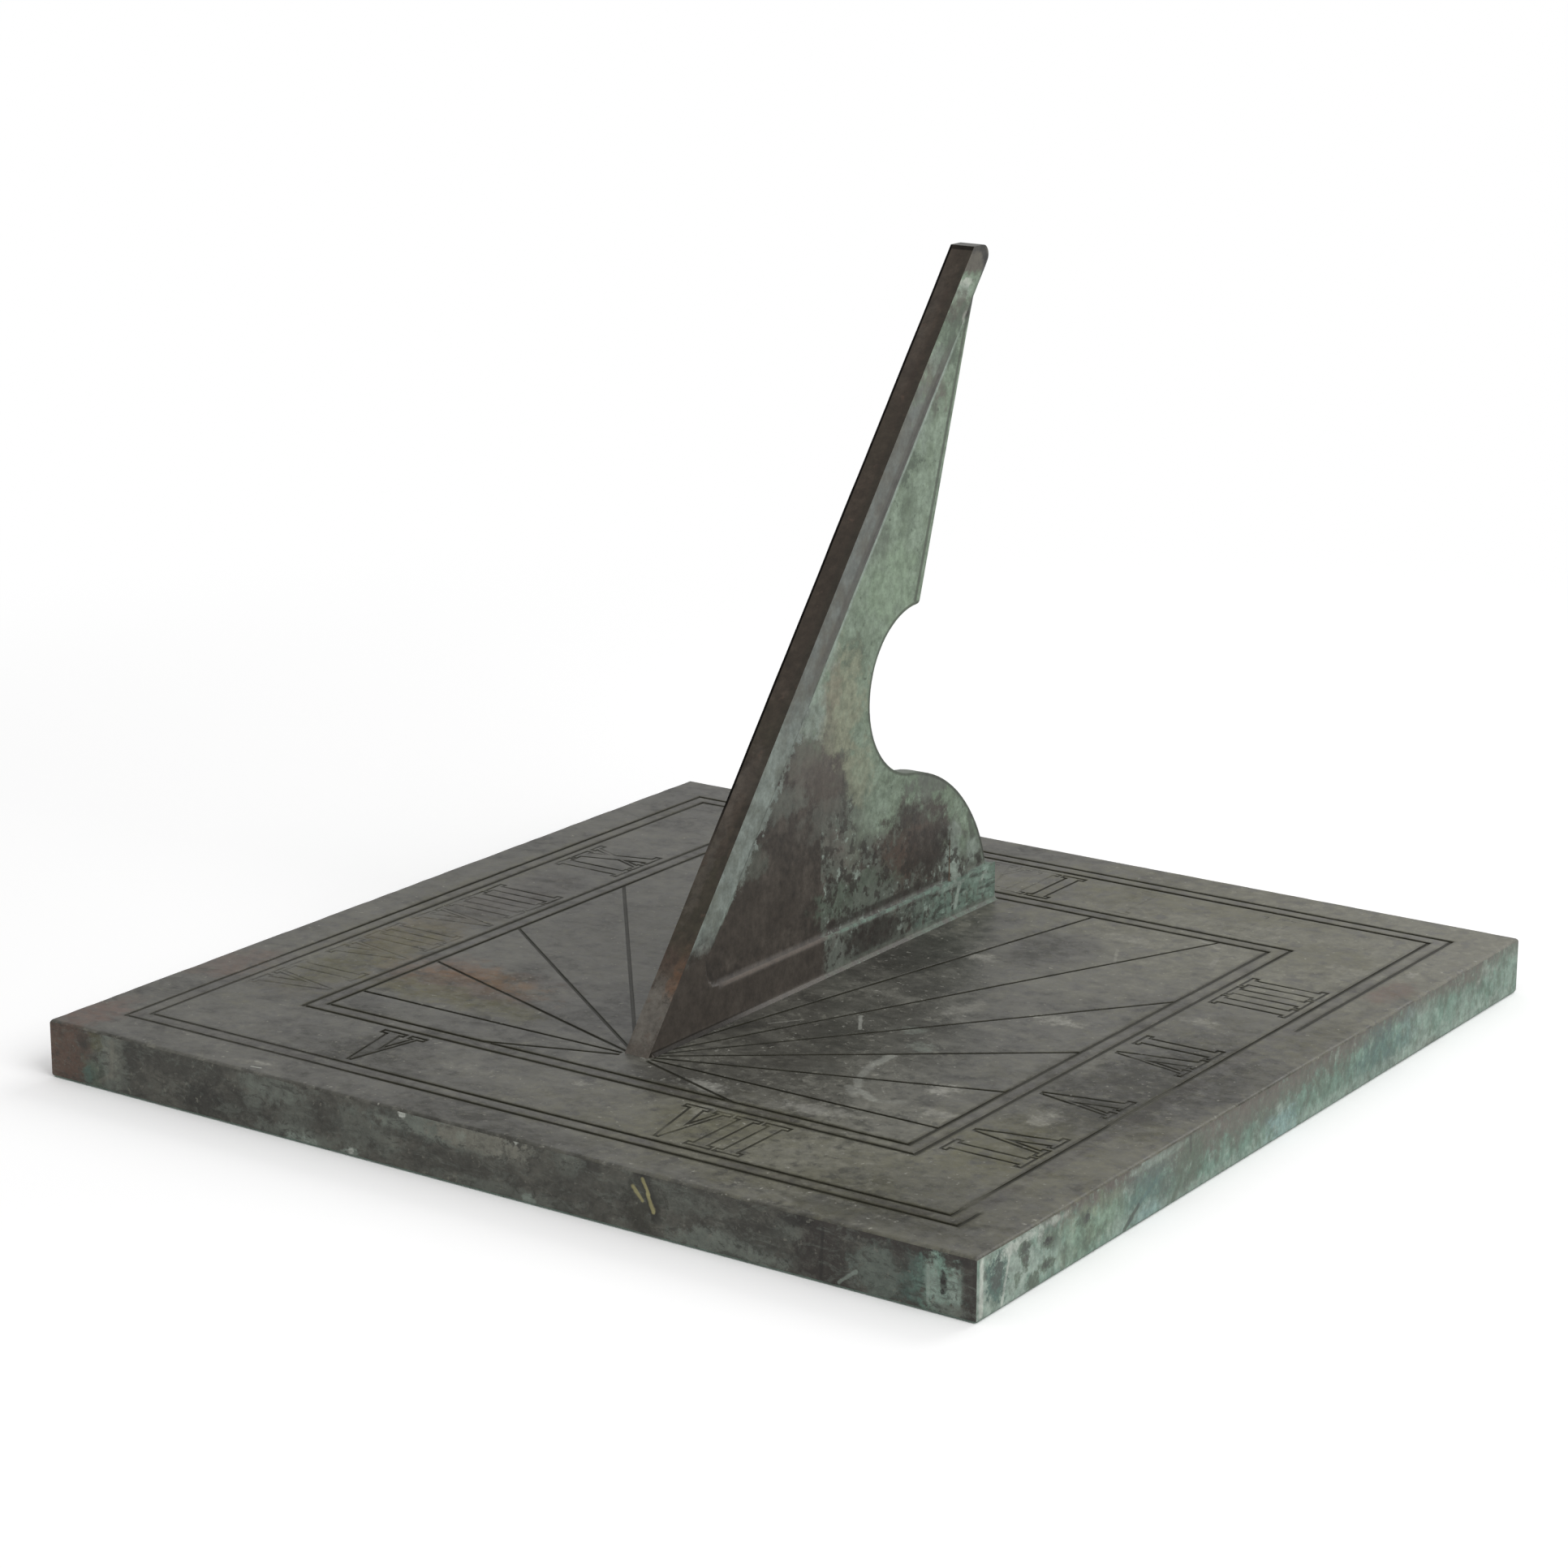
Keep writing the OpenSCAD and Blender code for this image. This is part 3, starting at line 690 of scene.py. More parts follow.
southStains = [
    ("copper", (-148, 8, 12, 22, 1)),
    ("fog", (-129.5, 9, 6, 12, 1)),
    ("ash", (-128, 10, 3.6, 7, 0.5)),
    ("slateDark", (-84, 7, 16, 5, 0.5)),
    ("sageDeep", (-136, 4, 4, 5, 0.8)),
    ("verdigrisDeep", (-138, 3, 2, 3, 0.7)),
    ("umberDark", (-133, 4, 1.6, 2.6, 0.5)),
    ("olive", (-135, 15, 2.4, 4, 0.7)),
    ("soot", (-122, 8, 5, 10, 0.4)),
    ("slateDark", (-104, 13, 16, 4, 0.5)),
    ("fog",
        (-70, 14, 11, 3.5, 0.7), (-76, 10, 4, 4, 0.5), (-62, 6, 6, 7, 0.35),
        (-10, 13.8, 24, 3.6, 1.3),
    ),
    ("ash", (1, 13.8, 15, 3, 1.2)),
    ("fog", (-40, 9, 8, 6, 0.4), (-30, 8, 4, 6, 0.3)),
    ("umberDark", (-30, 15.5, 7, 1.4, 0.6)),
    ("slateDark", (-22, 10, 9, 1.6, 0.7), (-4, 6, 16, 4, 0.5)),
    ("fog",
        (-60, 2.2, 16, 2.2, 0.6), (10, 2.2, 22, 1.8, 0.45), (80, 3, 16, 3.4, 1.3),
        (60, 12, 18, 3, 0.3), (30, 14, 4, 4, 0.55), (98, 11, 5, 3, 0.5),
    ),
    ("slateDark", (36, 8, 14, 8, 0.4), (90, 8.5, 10, 4.5, 0.7)),
    ("umberDark", (109, 9, 8, 14, 0.95), (126, 16, 32, 2.4, 0.85), (112, 2, 6, 3, 0.7)),
    ("verdigrisDeep", (125, 6.5, 8, 6.5, 0.55)),
    ("fog", (124, 7, 7, 6, 0.6)),
    ("verdigris", (142, 7.5, 6.5, 6.6, 1)),
    ("pale", (142, 6, 4, 4, 0.5)),
    ("verdigrisDeep", (134, 8, 4, 7, 0.6)),
    ("pale", (139.5, 9, 1.8, 5, 0.4), (146.5, 7, 1.8, 6, 0.6)),
    ("umberDark", (131, 12, 2.4, 3.6, 0.8)),
    ("soot",
        (143, 8.5, 0.9, 3, 1), (101, 15, 5, 2, 0.6), (-96, 5, 9, 4, 0.5),
        (-52, 9, 7, 4, 0.4),
    ),
    ("slateDark", (-140, 13, 3, 3, 0.6)),
    ("umberDark", (151, 9, 2.6, 18, 0.85)),
    ("fog", (146, 1.6, 5, 2, 0.8)),
    ("pale", (-60, 1.4, 5, 1.4, 0.4), (-43, 1.4, 3, 1.2, 0.45), (17, 1.6, 2, 1.4, 0.4)),
    ("chalk", (-25, 15.8, 1.3, 1, 0.85), (13, 16.2, 0.9, 0.8, 0.7), (-43, 1.6, 1, 0.8, 0.6)),
    ("pale", (-5, 13.6, 1.4, 1.4, 0.5)),
    ("oliveDark", (54, 9, 6, 8, 0.55)),
]

southRuns = [
    ("ash", (-10, 14, 7, 14, 3.6, 0.5)),
    ("soot", (108.2, 14.5, 107.6, 1.5, 0.9, 0.55)),
    ("pale", (113, 1.6, 118, 5.6, 0.9, 0.5)),
    ("ash", (-128.5, 15, -129.5, 5, 1.6, 0.6), (-129.5, 5, -134, 2.4, 1.4, 0.5)),
    ("pale", (138.6, 3, 138.8, 12, 0.8, 0.5)),
]

# Bare metal in two short scrapes
southScrapes = [
    ("soot", (54.2, 16, 57.6, 5.4, 3, 0.6)),
    ("brass",
        (50.5, 12.6, 53.4, 9.4, 1.1, 0.85), (53.4, 15.2, 55.4, 11.4, 0.9, 0.8),
        (55, 11.4, 56.8, 7, 1.1, 0.9),
    ),
]

eastStains = [
    ("taupe", (-30, 14, 50, 6, 0.9), (30, 15.5, 50, 4.5, 0.9), (-94, 16, 28, 4.4, 1.1)),
    ("umberLight", (-92, 16.6, 32, 2.6, 0.9)),
    ("taupe", (112, 15.6, 56, 4, 0.85)),
    ("umberLight", (10, 17, 180, 1.6, 0.8)),
    ("teal", (-70, 7, 13, 7, 0.65), (62, 7, 14, 7, 0.7)),
    ("sageDeep", (-48, 9, 7, 7, 0.8)),
    ("moss", (-5, 9, 30, 4, 0.4)),
    ("pale",
        (-141, 7, 15, 14, 0.8), (-120, 5, 12, 5, 0.5), (-66, 15.2, 15, 1.1, 0.55),
        (-128, 15, 12, 1.4, 0.6),
    ),
    ("chalk", (-134, 14.4, 9, 1.4, 0.5), (-116, 15, 6, 1, 0.4)),
    ("sage", (-105, 7, 10, 7, 0.4), (-90, 8, 8, 6, 0.4)),
    ("pale", (60, 1.6, 110, 2.2, 0.5), (-78, 2.6, 14, 2.4, 0.4)),
    ("blue", (3, 3.5, 8, 4, 0.8), (-71, 1.8, 8, 2, 0.7), (80, 9, 6, 6, 0.35)),
    ("pale", (-48, 1.4, 12, 1.4, 0.5)),
    ("moss", (-54, 6, 8, 6, 0.5)),
    ("pale", (88, 2.4, 16, 2.6, 0.5), (90, 7, 8, 8, 0.45)),
    ("verdigris", (102, 7, 10, 6, 0.4)),
    ("pale", (118, 5, 12, 5, 0.4), (146, 7, 10, 9, 0.4)),
    ("sageDeep", (28, 9, 9, 5, 0.35)),
    ("pale", (131, 13, 4, 3, 0.5), (2, 9, 3, 1.6, 0.6)),
    ("taupe", (94, 1.2, 5, 1.2, 0.5)),
]

# Pits at the east side's south end, where the crust has come away
eastPits = [
    ("verdigrisDeep", (-143.5, 8.5, 4.4, 5.8, 1)),
    ("umberDark", (-143, 10, 2.4, 3.6, 0.6)),
    ("sageDeep", (-119, 10.5, 3.4, 2.2, 1)),
    ("soot", (-119.5, 10.5, 2, 1.2, 0.8)),
    ("sageDeep", (-130, 9.5, 1.8, 2.6, 0.9)),
    ("umberDark", (-130, 9.5, 1.2, 1.8, 0.6)),
    ("sageDeep", (-131, 12.8, 3.2, 1.4, 0.85), (-120, 4.8, 3.6, 1.8, 0.85)),
    ("soot", (-120, 4.8, 2, 1, 0.6), (-130.5, 12, 1.8, 1.6, 0.6)),
    ("sageDeep", (-126.5, 2.2, 3, 2.2, 0.85), (-102, 10.5, 3.6, 2, 0.85)),
    ("soot", (-101, 10.8, 2, 1.2, 0.7)),
    ("sageDeep", (-134, 5.5, 1.6, 1.8, 0.75), (-100, 5, 6, 2.6, 0.5)),
    ("umberDark", (-149, 11, 0.8, 1.4, 0.5)),
]

eastRuns = [
    ("teal", (-66, 9.5, -75, 5.5, 1.4, 0.8)),
    ("oliveDark", (-75, 5.5, -82, 1, 1.4, 0.65)),
    ("chalk", (-150.4, 2, -150.2, 15, 1.8, 0.6), (-141, 1.2, -137, 15, 1, 0.4)),
    ("sageDeep", (-48, 15, -46.5, 10, 1.6, 0.6)),
    ("umberDark", (-48.4, 16, -48, 12, 1.4, 0.6)),
    ("sageDeep", (-53, 6, -57, 1, 1.6, 0.6)),
]


def paintSouth():
    paint, _ = paintSide("plateSouth", 11, "slateDark", "slateLight", "moss", 0.14, (1.8, 1, 0.9))
    paint.addStains(facingSouth, southStains, 14, lumps=3.6, ragged=1.3)
    wisps = paint.mottle(4.5, 15, 0.3, 0.09, rough=0.75, twist=1.5, stretch=(1.7, 1, 0.8))
    paint.coat(wisps, "fog", 0.45)
    blots = paint.mottle(4.5, 16, 0.3, 0.08, rough=0.75, twist=1.5, stretch=(1.6, 1, 0.8))
    paint.coat(blots, "slateDark", 0.7)
    paint.coat(paint.mottle(1.7, 18, 0.08, 0.04), "ash", 0.6)
    paint.addStrokes(facingSouth, southRuns, 19)
    paint.addStrokes(facingSouth, southScrapes, 17)
    darkFoot(paint)
    return paint.weathered(0.08, darkRough=0.55, uneven=0.7)


def paintEast():
    paint, runs = paintSide("plateEast", 21, "moss", "verdigris", "verdigris", 0.6)
    paint.coat(paint.step(runs, 0.52, 0.68), "pale", 0.45)
    paint.addStains(facingEast, eastStains, 24, lumps=4, ragged=1.4, soft=0.55)
    tall = (1, 1, 1.7)
    paint.coat(paint.mottle(3.4, 25, 0.3, 0.09, rough=0.7, stretch=tall), "sageDeep", 0.5)
    paint.coat(paint.mottle(2.6, 26, 0.22, 0.07, rough=0.7, stretch=tall), "pale", 0.42)
    paint.addStains(facingEast, eastPits, 28, lumps=2.2, ragged=1.3, soft=0.3)
    paint.addStrokes(facingEast, eastRuns, 27)
    darkFoot(paint, 0.3)
    return paint.weathered(0.10, uneven=0.8)


def paintNorth():
    paint, runs = paintSide("plateNorth", 31, "umber", "moss", "verdigris", 0.45)
    paint.coat(paint.step(runs, 0.58, 0.75), "pale", 0.35)
    paint.coat(paint.mottle(2.6, 33, 0.2), "umberDark", 0.6)
    darkFoot(paint)
    return paint.weathered(0.10)


def paintWest():
    paint, _ = paintSide("plateWest", 41, "umberDark", "slateLight", "moss", 0.25)
    paint.addStains(facingEast, [("copper", (-140, 8, 26, 14, 0.9))], 42)
    paint.coat(paint.mottle(2.6, 43, 0.16), "moss", 0.5)
    darkFoot(paint)
    return paint.weathered(0.10, darkRough=0.5)


# Underneath it is rough from the casting, with green at the edges and round the screws
def paintUnder():
    paint = Finish("plateUnder")
    paint.color = paint.between(paint.clouds(20, 51, rough=0.65), "umberDark", "umberLight")
    paint.coat(paint.mottle(9, 52, 0.25, 0.08), "copper", 0.6)
    paint.coat(paint.mottle(4, 53, 0.18, 0.05), "verdigrisDeep", 0.8)
    away = paint.most(paint.calc("ABSOLUTE", paint.x), paint.calc("ABSOLUTE", paint.y))
    away = paint.plus(away, paint.clouds(8, 54), 40)
    paint.coat(paint.step(away, 155, 172), "verdigris", 0.7)
    for node in screws:
        low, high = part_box(node)
        middle = ((low.x + high.x) / 2 / mm, (low.y + high.y) / 2 / mm)
        near = paint.plus(paint.reach(onTop, middle, (9, 9)), paint.clouds(3, 55), 1.2)
        paint.coat(paint.step(near, 1.8, 1.3), "verdigris", 0.7)
    return paint.weathered(0.25, darkRough=0.6)


gnomonStains = [
    ("umberLight", (4, 80, 14, 13, 0.6)),
    ("moss", (-8, 92, 8, 8, 0.6)),
    ("umber", (-34, 46, 22, 14, 0.5)),
    ("fog", (-20, 74, 14, 5, 0.55)),
    ("taupe", (-8, 84, 8, 8, 0.45)),
    ("moss", (-34, 60, 9, 5, 0.5)),
    ("pale", (-2, 97, 7, 8, 0.55)),
    ("fog", (8, 64, 14, 6, 0.35)),
    ("umber", (53, 46, 20, 13, 0.9)),
    ("copper", (50, 44, 13, 8, 0.45)),
    ("umberDark", (60, 41, 11, 7, 0.75)),
    ("oliveDark", (46, 54, 8, 4, 0.4)),
    ("fog", (60, 63, 10, 5, 0.9)),
    ("sageDeep", (20, 37, 19, 6, 0.75)),
    ("moss", (28, 34, 12, 4, 0.7)),
    ("pale", (73, 37, 3.2, 10, 0.55)),
    ("moss", (86, 34, 6, 9, 0.6)),
    ("sageDeep", (70, 200, 5, 6, 0.8)),
    ("chalk", (75, 209.5, 4, 1.3, 0.5)),
    ("pale", (71, 207, 5, 2, 0.45)),
    ("chalk", (73.5, 199.5, 1.6, 1.9, 0.8)),
    ("sageDeep", (67, 191, 6, 5, 0.8), (40, 162, 8, 6, 0.85)),
    ("taupe", (58, 182, 8, 8, 0.7)),
    ("sageDeep", (56, 176, 4, 7, 0.5), (64, 196, 4, 6, 0.6), (46, 148, 4, 8, 0.4)),
    ("pale", (60, 189, 4, 4, 0.5)),
    ("sageDeep", (16, 108, 8, 7, 0.8)),
    ("lichen", (13, 97, 10, 15, 0.8)),
    ("taupe", (5, 88, 4, 10, 0.6)),
    ("tan", (8, 102, 4, 8, 0.35)),
    ("pale", (2, 96, 2.4, 9, 0.35)),
    ("lichen", (22, 74, 7, 9, 0.6)),
    ("sage", (38, 126, 14, 10, 0.6)),
    ("pale", (5, 112, 5, 6, 0.4)),
    ("lichen", (8, 88, 6, 7, 0.4)),
    ("pale", (52, 172, 5, 8, 0.35)),
    ("moss", (30, 141, 7, 7, 0.5)),
    ("umberLight", (70, 203, 5, 5, 0.6)),
    # This one deepens the painted shadow under the band's lower edge
    ("sageDeep", (40, 160, 10, 4, 1.1)),
    ("moss", (61, 190, 4, 4, 0.5)),
    ("pale", (72, 32, 5, 6, 0.5), (88, 25, 7, 4, 0.8), (84, 36, 4, 4, 0.6)),
    ("sageDeep", (83, 23, 5, 3, 0.7)),
    ("fog", (8, 22, 6, 5, 0.7)),
]

gnomonStrokes = [
    ("pale", (75.5, 27, 73, 20.5, 1.8, 0.7)),
    # The first two of these dark strokes are painted shade in the web's corner by the toe and a
    # painted shadow under the band's lower edge
    ("umberDark",
        (-55, 37, -51, 30, 1.8, 0.8), (22, 136, 60, 184, 1.6, 0.5), (82, 47, 84, 40, 2.4, 0.5),
    ),
    ("moss", (4, 18.6, 92, 18.6, 1.6, 0.5)),
    ("pale",
        (64, 27.2, 78, 27.6, 1.2, 0.4), (-47, 46, -41, 53, 1.2, 0.5),
        (-48, 47, -40, 56, 1.4, 0.4),
    ),
    # Painted shade: a dark outline round the nose, where its rounded edge turns from the light
    ("soot",
        (76.4, 200.5, 84, 210.5, 3.4, 0.8), (84, 210.5, 85, 215, 3.4, 0.8),
        (85, 215, 83, 218.6, 3, 0.8), (83, 219, 66, 219, 2.4, 0.6),
    ),
    ("sageDeep", (73, 203, 67, 196, 2.4, 0.7)),
]


# Either side of the gnomon. The dark lower web ends at the split, beyond which green has grown.
def paintWeb(name, seed):
    paint = Finish(name)
    y, z = paint.y, paint.z
    step, plus, both, off, coat = paint.step, paint.plus, paint.both, paint.off, paint.coat
    plinthTop = plateTop + outline["plinthHeight"]
    bandWidth = outline["bandWidth"]
    sine, cosine = math.sin(latitude), math.cos(latitude)
    inward = plus(plateTop * cosine - toe * sine, z, -cosine)
    inward = plus(inward, y, sine)  # how far in from the style
    lumps = paint.clouds(11, seed, detail=5, rough=0.62)
    fine = paint.clouds(2.6, seed + 1, detail=5, rough=0.68)
    grainy = step(fine, 0.32, 0.68)
    paint.color = paint.between(grainy, "umberDark", "umber")
    paint.lay(step(lumps, 0.4, 0.66), paint.between(grainy, "umber", "umberLight"))

    # Mottled green, white and dark north of the split
    split = step(plus(y, fine, 3.0), 3.2, 4.0)
    split = both(split, step(plus(z, lumps, 50), 96, 84))
    north = paint.mottle(4.6, seed + 2, 0.62, 0.05, rough=0.7)
    coat(both(split, north), "moss", 0.85)
    browner = both(split, step(plus(z, lumps, 24), 50, 66))
    coat(both(browner, step(lumps, 0.35, 0.6)), "taupe", 0.55)
    flecks = paint.mottle(3.2, seed + 3, 0.24, 0.04, rough=0.65)
    coat(both(split, flecks), "pale", 0.75)
    pits = paint.mottle(3.6, seed + 4, 0.39, 0.04, rough=0.65)

    # Sage over the upper web, round the bite and along the shoulder
    high = step(plus(z, lumps, 60), 108, 134)
    bite = paint.reach(facingEast, outline["biteCentre"], (1, 1))
    bite = step(plus(bite, lumps, -40), 26, 12)
    shoulder = paint.reach(facingEast, outline["shoulderCentre"], (1, 1))
    shoulder = step(plus(shoulder, lumps, 30), 48, 60)
    shoulder = both(shoulder, step(y, 10, 34), step(z, 28, 42))
    grown = paint.most(high, bite, shoulder)
    leaf = paint.between(paint.lumps(7, seed + 5, 0.3, 0.7, rough=0.7), "moss", "pale")
    leaf = paint.mix(0.6, leaf, tint("sage"))
    paint.lay(both(grown, 0.94), leaf)
    blots = paint.mottle(8, seed + 10, 0.32, 0.08, rough=0.7)
    coat(both(grown, blots), "sageDeep", 0.5)
    spots = paint.mottle(2.2, seed + 6, 0.14, 0.05, rough=0.6)
    coat(both(grown, spots), "sageDeep", 0.9)

    paint.addStains(facingEast, gnomonStains, seed + 7, lumps=5, ragged=1.2, soft=0.3)
    coat(both(split, pits, step(grown, 0.6, 0.2)), "umberDark", 0.8)

    # The plinth keeps dark to the south and green to the north
    plinth = step(z, plinthTop + 0.6, plinthTop - 0.2)
    dark = step(plus(y, fine, 10), 9, 6)
    coat(both(plinth, dark), "umber", 0.6)
    tail = step(plus(y, lumps, 40), 62, 84)
    tail = both(plinth, tail, paint.mottle(4, seed + 8, 0.65, 0.08, rough=0.7))
    coat(tail, "verdigris", 0.6)
    streaks = paint.mottle(3, seed + 12, 0.34, 0.06, rough=0.65, stretch=(1, 3.2, 0.8))
    streaks = both(plinth, streaks, step(y, 22, 40))
    coat(streaks, "umberDark", 0.65)
    shade = paint.reach(facingEast, (28, 23), (13, 5))
    shade = step(paint.calc("ADD", shade, fine), 1.9, 1.2)
    coat(both(plinth, shade), "umberDark", 0.8)

    # The band along the style: grey above, bluish green below, dark by the toe, with a painted
    # shadow and a painted highlight along its lower edge
    low = step(plus(z, lumps, 50), 138, 112)
    haze = both(low, step(fine, 0.3, 0.7), step(z, 44, 56))
    band = step(plus(inward, haze, -6.0), bandWidth + 0.8, bandWidth - 1.2)
    soft = paint.lumps(8, seed + 11, 0.3, 0.7, rough=0.7)
    grey = paint.between(soft, "slateLight", "greyBlue")
    cool = paint.between(soft, "fog", "mist")
    bandFoot = step(plus(z, fine, 14), 45, 54)
    bandHead = step(plus(z, lumps, 60), 218, 206)
    paint.lay(both(band, bandFoot, bandHead), paint.mix(low, grey, cool))
    edge = both(step(z, 90, 120), step(z, 200, 186), step(fine, 0.1, 0.45))
    # Painted shadow along the band's lower edge, and a painted highlight on the web just beyond
    # it, where the step would catch the light
    shadow = step(off(inward, bandWidth - 1.4), 2.2, 1.0)
    coat(both(shadow, edge), "slate", 0.7)
    bandHighlight = step(off(inward, bandWidth + 1.8), 1.3, 0.5)
    coat(both(bandHighlight, edge), "pale", 0.8)
    toeEnd = step(plus(z, fine, 10), 46, 42)
    coat(both(toeEnd, step(inward, 12, 9)), "umber", 0.8)

    head = step(plus(z, fine, 6), 214, 216)
    coat(head, "umberLight", 0.9)
    paint.addStrokes(facingEast, gnomonStrokes, seed + 9)

    # Painted light and shade at the arrises: a painted highlight along the plinth's ledge and
    # along the foot, painted shade in the crease above the ledge, at the toe's foot and round the
    # bite, the lobe and the back edge
    # Painted highlight on the plinth's ledge: tan to the south, green beyond the split
    atArris = step(off(z, plinthTop - 0.2), 0.9, 0.3)
    proud = step(paint.calc("ABSOLUTE", paint.x), 3.1, 3.5)
    south = both(step(y, -50, -46), step(y, 16, 0))
    coat(both(atArris, proud, south), "tan", 0.3)
    beyond = both(step(y, 0, 8), step(y, 70, 58))
    patchy = step(fine, 0.35, 0.6)
    coat(both(atArris, proud, beyond, patchy), "verdigris", 0.6)
    # Painted shade in the crease just above the ledge
    crease = step(off(z, plinthTop + 1.8), 1.8, 0.8)
    coat(both(crease, beyond, step(fine, 0.25, 0.45)), "umberDark", 0.75)
    # Painted highlight along the foot, then painted shade with little shine at the toe's foot
    foot = step(z, plateTop + 1.5, plateTop + 1.1)
    coat(both(foot, step(y, -50, 0)), "taupe", 0.35)
    toeFoot = both(foot, step(y, -20, -56))
    coat(toeFoot, "soot", 0.7)
    # Painted shade round the bite, the lobe and the back edge, where the rounded edges turn from
    # the light
    biteEdge = paint.reach(facingEast, outline["biteCentre"], (outline["biteRadius"],) * 2)
    biteEdge = both(step(biteEdge, 1.045, 1.02), step(biteEdge, 0.9, 0.95))
    lobeEdge = paint.reach(facingEast, outline["shoulderCentre"], (outline["shoulderRadius"],) * 2)
    lobeEdge = both(step(lobeEdge, 0.978, 0.988), step(lobeEdge, 1.06, 1.03))
    lobeEdge = both(lobeEdge, step(y, 46, 62))
    backEdge = step(paint.strokeReach(facingEast, *outline["backEdge"]), 0.9, 0.4)
    rim = paint.most(biteEdge, lobeEdge, backEdge)
    rim = both(rim, step(z, plinthTop + 0.5, plinthTop + 2))
    coat(rim, "oliveDark", 0.6)
    return paint.weathered(0.07, sheen=paint.blend(toeFoot, 0.32, 0.08), uneven=0.75)


styleStains = [
    ("umberLight", (0, 24, 9, 12, 1)),
    ("taupe", (0, 26, 8, 6, 0.8)),
    ("rust", (2.8, 36, 2.2, 5, 0.5)),
    ("copper", (0, 40, 6, 4, 0.4)),
    ("oliveDeep", (0, 54, 6, 14, 0.6), (0, 96, 5, 8, 0.6), (0, 168, 5, 9, 0.6)),
    ("umberLight", (-2, 196, 2.4, 14, 0.4), (-2, 70, 2, 16, 0.4)),
    ("bark", (0, 150, 6, 60, 0.6)),
    ("umberLight", (0, 84, 4, 6, 0.3)),
    ("bark", (3.4, 190, 2.6, 40, 0.7)),
    ("barkDark", (0, 130, 6, 24, 0.5)),
]


# The narrow face whose edges throw the shadow
def paintStyle():
    paint = Finish("gnomonStyle")
    x, z = paint.x, paint.z
    tipTop = gnomonHigh.z / mm
    fine = paint.clouds(5, 81, detail=5, rough=0.65, stretch=(1, 1, 2.2))
    paint.color = paint.between(paint.step(fine, 0.32, 0.68), "barkDark", "barkLight")
    paint.addStains(facingSouth, styleStains, 82, lumps=6, ragged=1.6)
    paint.coat(paint.mottle(3, 83, 0.12), "copper", 0.4)
    east = paint.both(paint.step(x, 0.8, 2.8), paint.step(z, 50, 70))
    paint.coat(east, "oliveDark", 0.45)
    # Painted shade: a black line along the west arris and along the tip's top edge, with little
    # shine
    west = paint.both(paint.step(x, -3.1, -3.4), paint.step(z, 60, 80))
    paintedEdgeShade = paint.most(west, paint.both(paint.step(z, tipTop - 1.3, tipTop - 0.9), 0.7))
    paint.coat(paintedEdgeShade, "black")
    return paint.weathered(0.06, sheen=paint.blend(paintedEdgeShade, 0.28, 0.03), darkRough=0.5, uneven=0.8)


def fixingFinish():
    paint = Finish("fixingBronze")
    grain = paint.clouds(2, 3)
    paint.color = paint.between(grain, "bronze", "bronzeDull")
    paint.shader.inputs["Metallic"].default_value = 0.8
    return paint.done(paint.blend(grain, 0.35, 0.6), paint.clouds(0.6, 4), 0.02)


plateFaces = [paintTop(), paintSouth(), paintEast(), paintNorth(), paintWest(), paintUnder()]
makePlate(plateFaces)
gnomonFaces = [paintWeb("gnomonEast", 61), paintWeb("gnomonWest", 71), paintStyle()]
makeGnomon(gnomonFaces)
fixingBronze = fixingFinish()
for name in screws + ("dowel_south", "dowel_north"):
    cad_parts[name].data.materials.clear()
    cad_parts[name].data.materials.append(fixingBronze)
print("fixings finished")


# Studio: white all round, a broad soft lamp high on the east side, a weaker one to the north and a
# pale floor that keeps the shadow
studio = {
    "floorReach": 6.0,  # metres each way
    "floorOpening": 3 * mm,  # the floor starts this far in, so that the underside can be seen
    "floorLevel": -0.02 * mm,
    "floorTone": 0.8,
    "floorSeen": 1.2,  # how the camera sees the floor, 1 is white
    "shadowReach": 350,  # in mm, beyond this the floor turns plain white
    "shadowEnd": 700,
    "skyLight": 0.55,
    "skyEast": 1.0,  # what the metal mirrors, from the east round to the west
    "skyWest": 0.55,
    "keyLamp": ((1.9, -0.5, 1.7), 1.6, 26.0),  # place, size and power
    "fillLamp": ((0.3, 2.0, 1.5), 1.3, 11.0),
    "lampTarget": (0, 0, 0.06),
}


def addLamp(name, place, size, power):
    lamp = bpy.data.lights.new(name, "AREA")
    lamp.shape = "SQUARE"
    lamp.size = size
    lamp.energy = power
    holder = bpy.data.objects.new(name, lamp)
    bpy.context.scene.collection.objects.link(holder)
    holder.location = place
    holder.rotation_mode = "QUATERNION"
    toward = Vector(studio["lampTarget"]) - Vector(place)
    holder.rotation_quaternion = toward.to_track_quat("-Z", "Y")


# Whether a ray comes from the camera or through something clear, and whether off something shiny
def rays(nodes):
    path = nodes.node("ShaderNodeLightPath").outputs
    return nodes.most(path["Is Camera Ray"], path["Is Transmission Ray"]), path["Is Glossy Ray"]


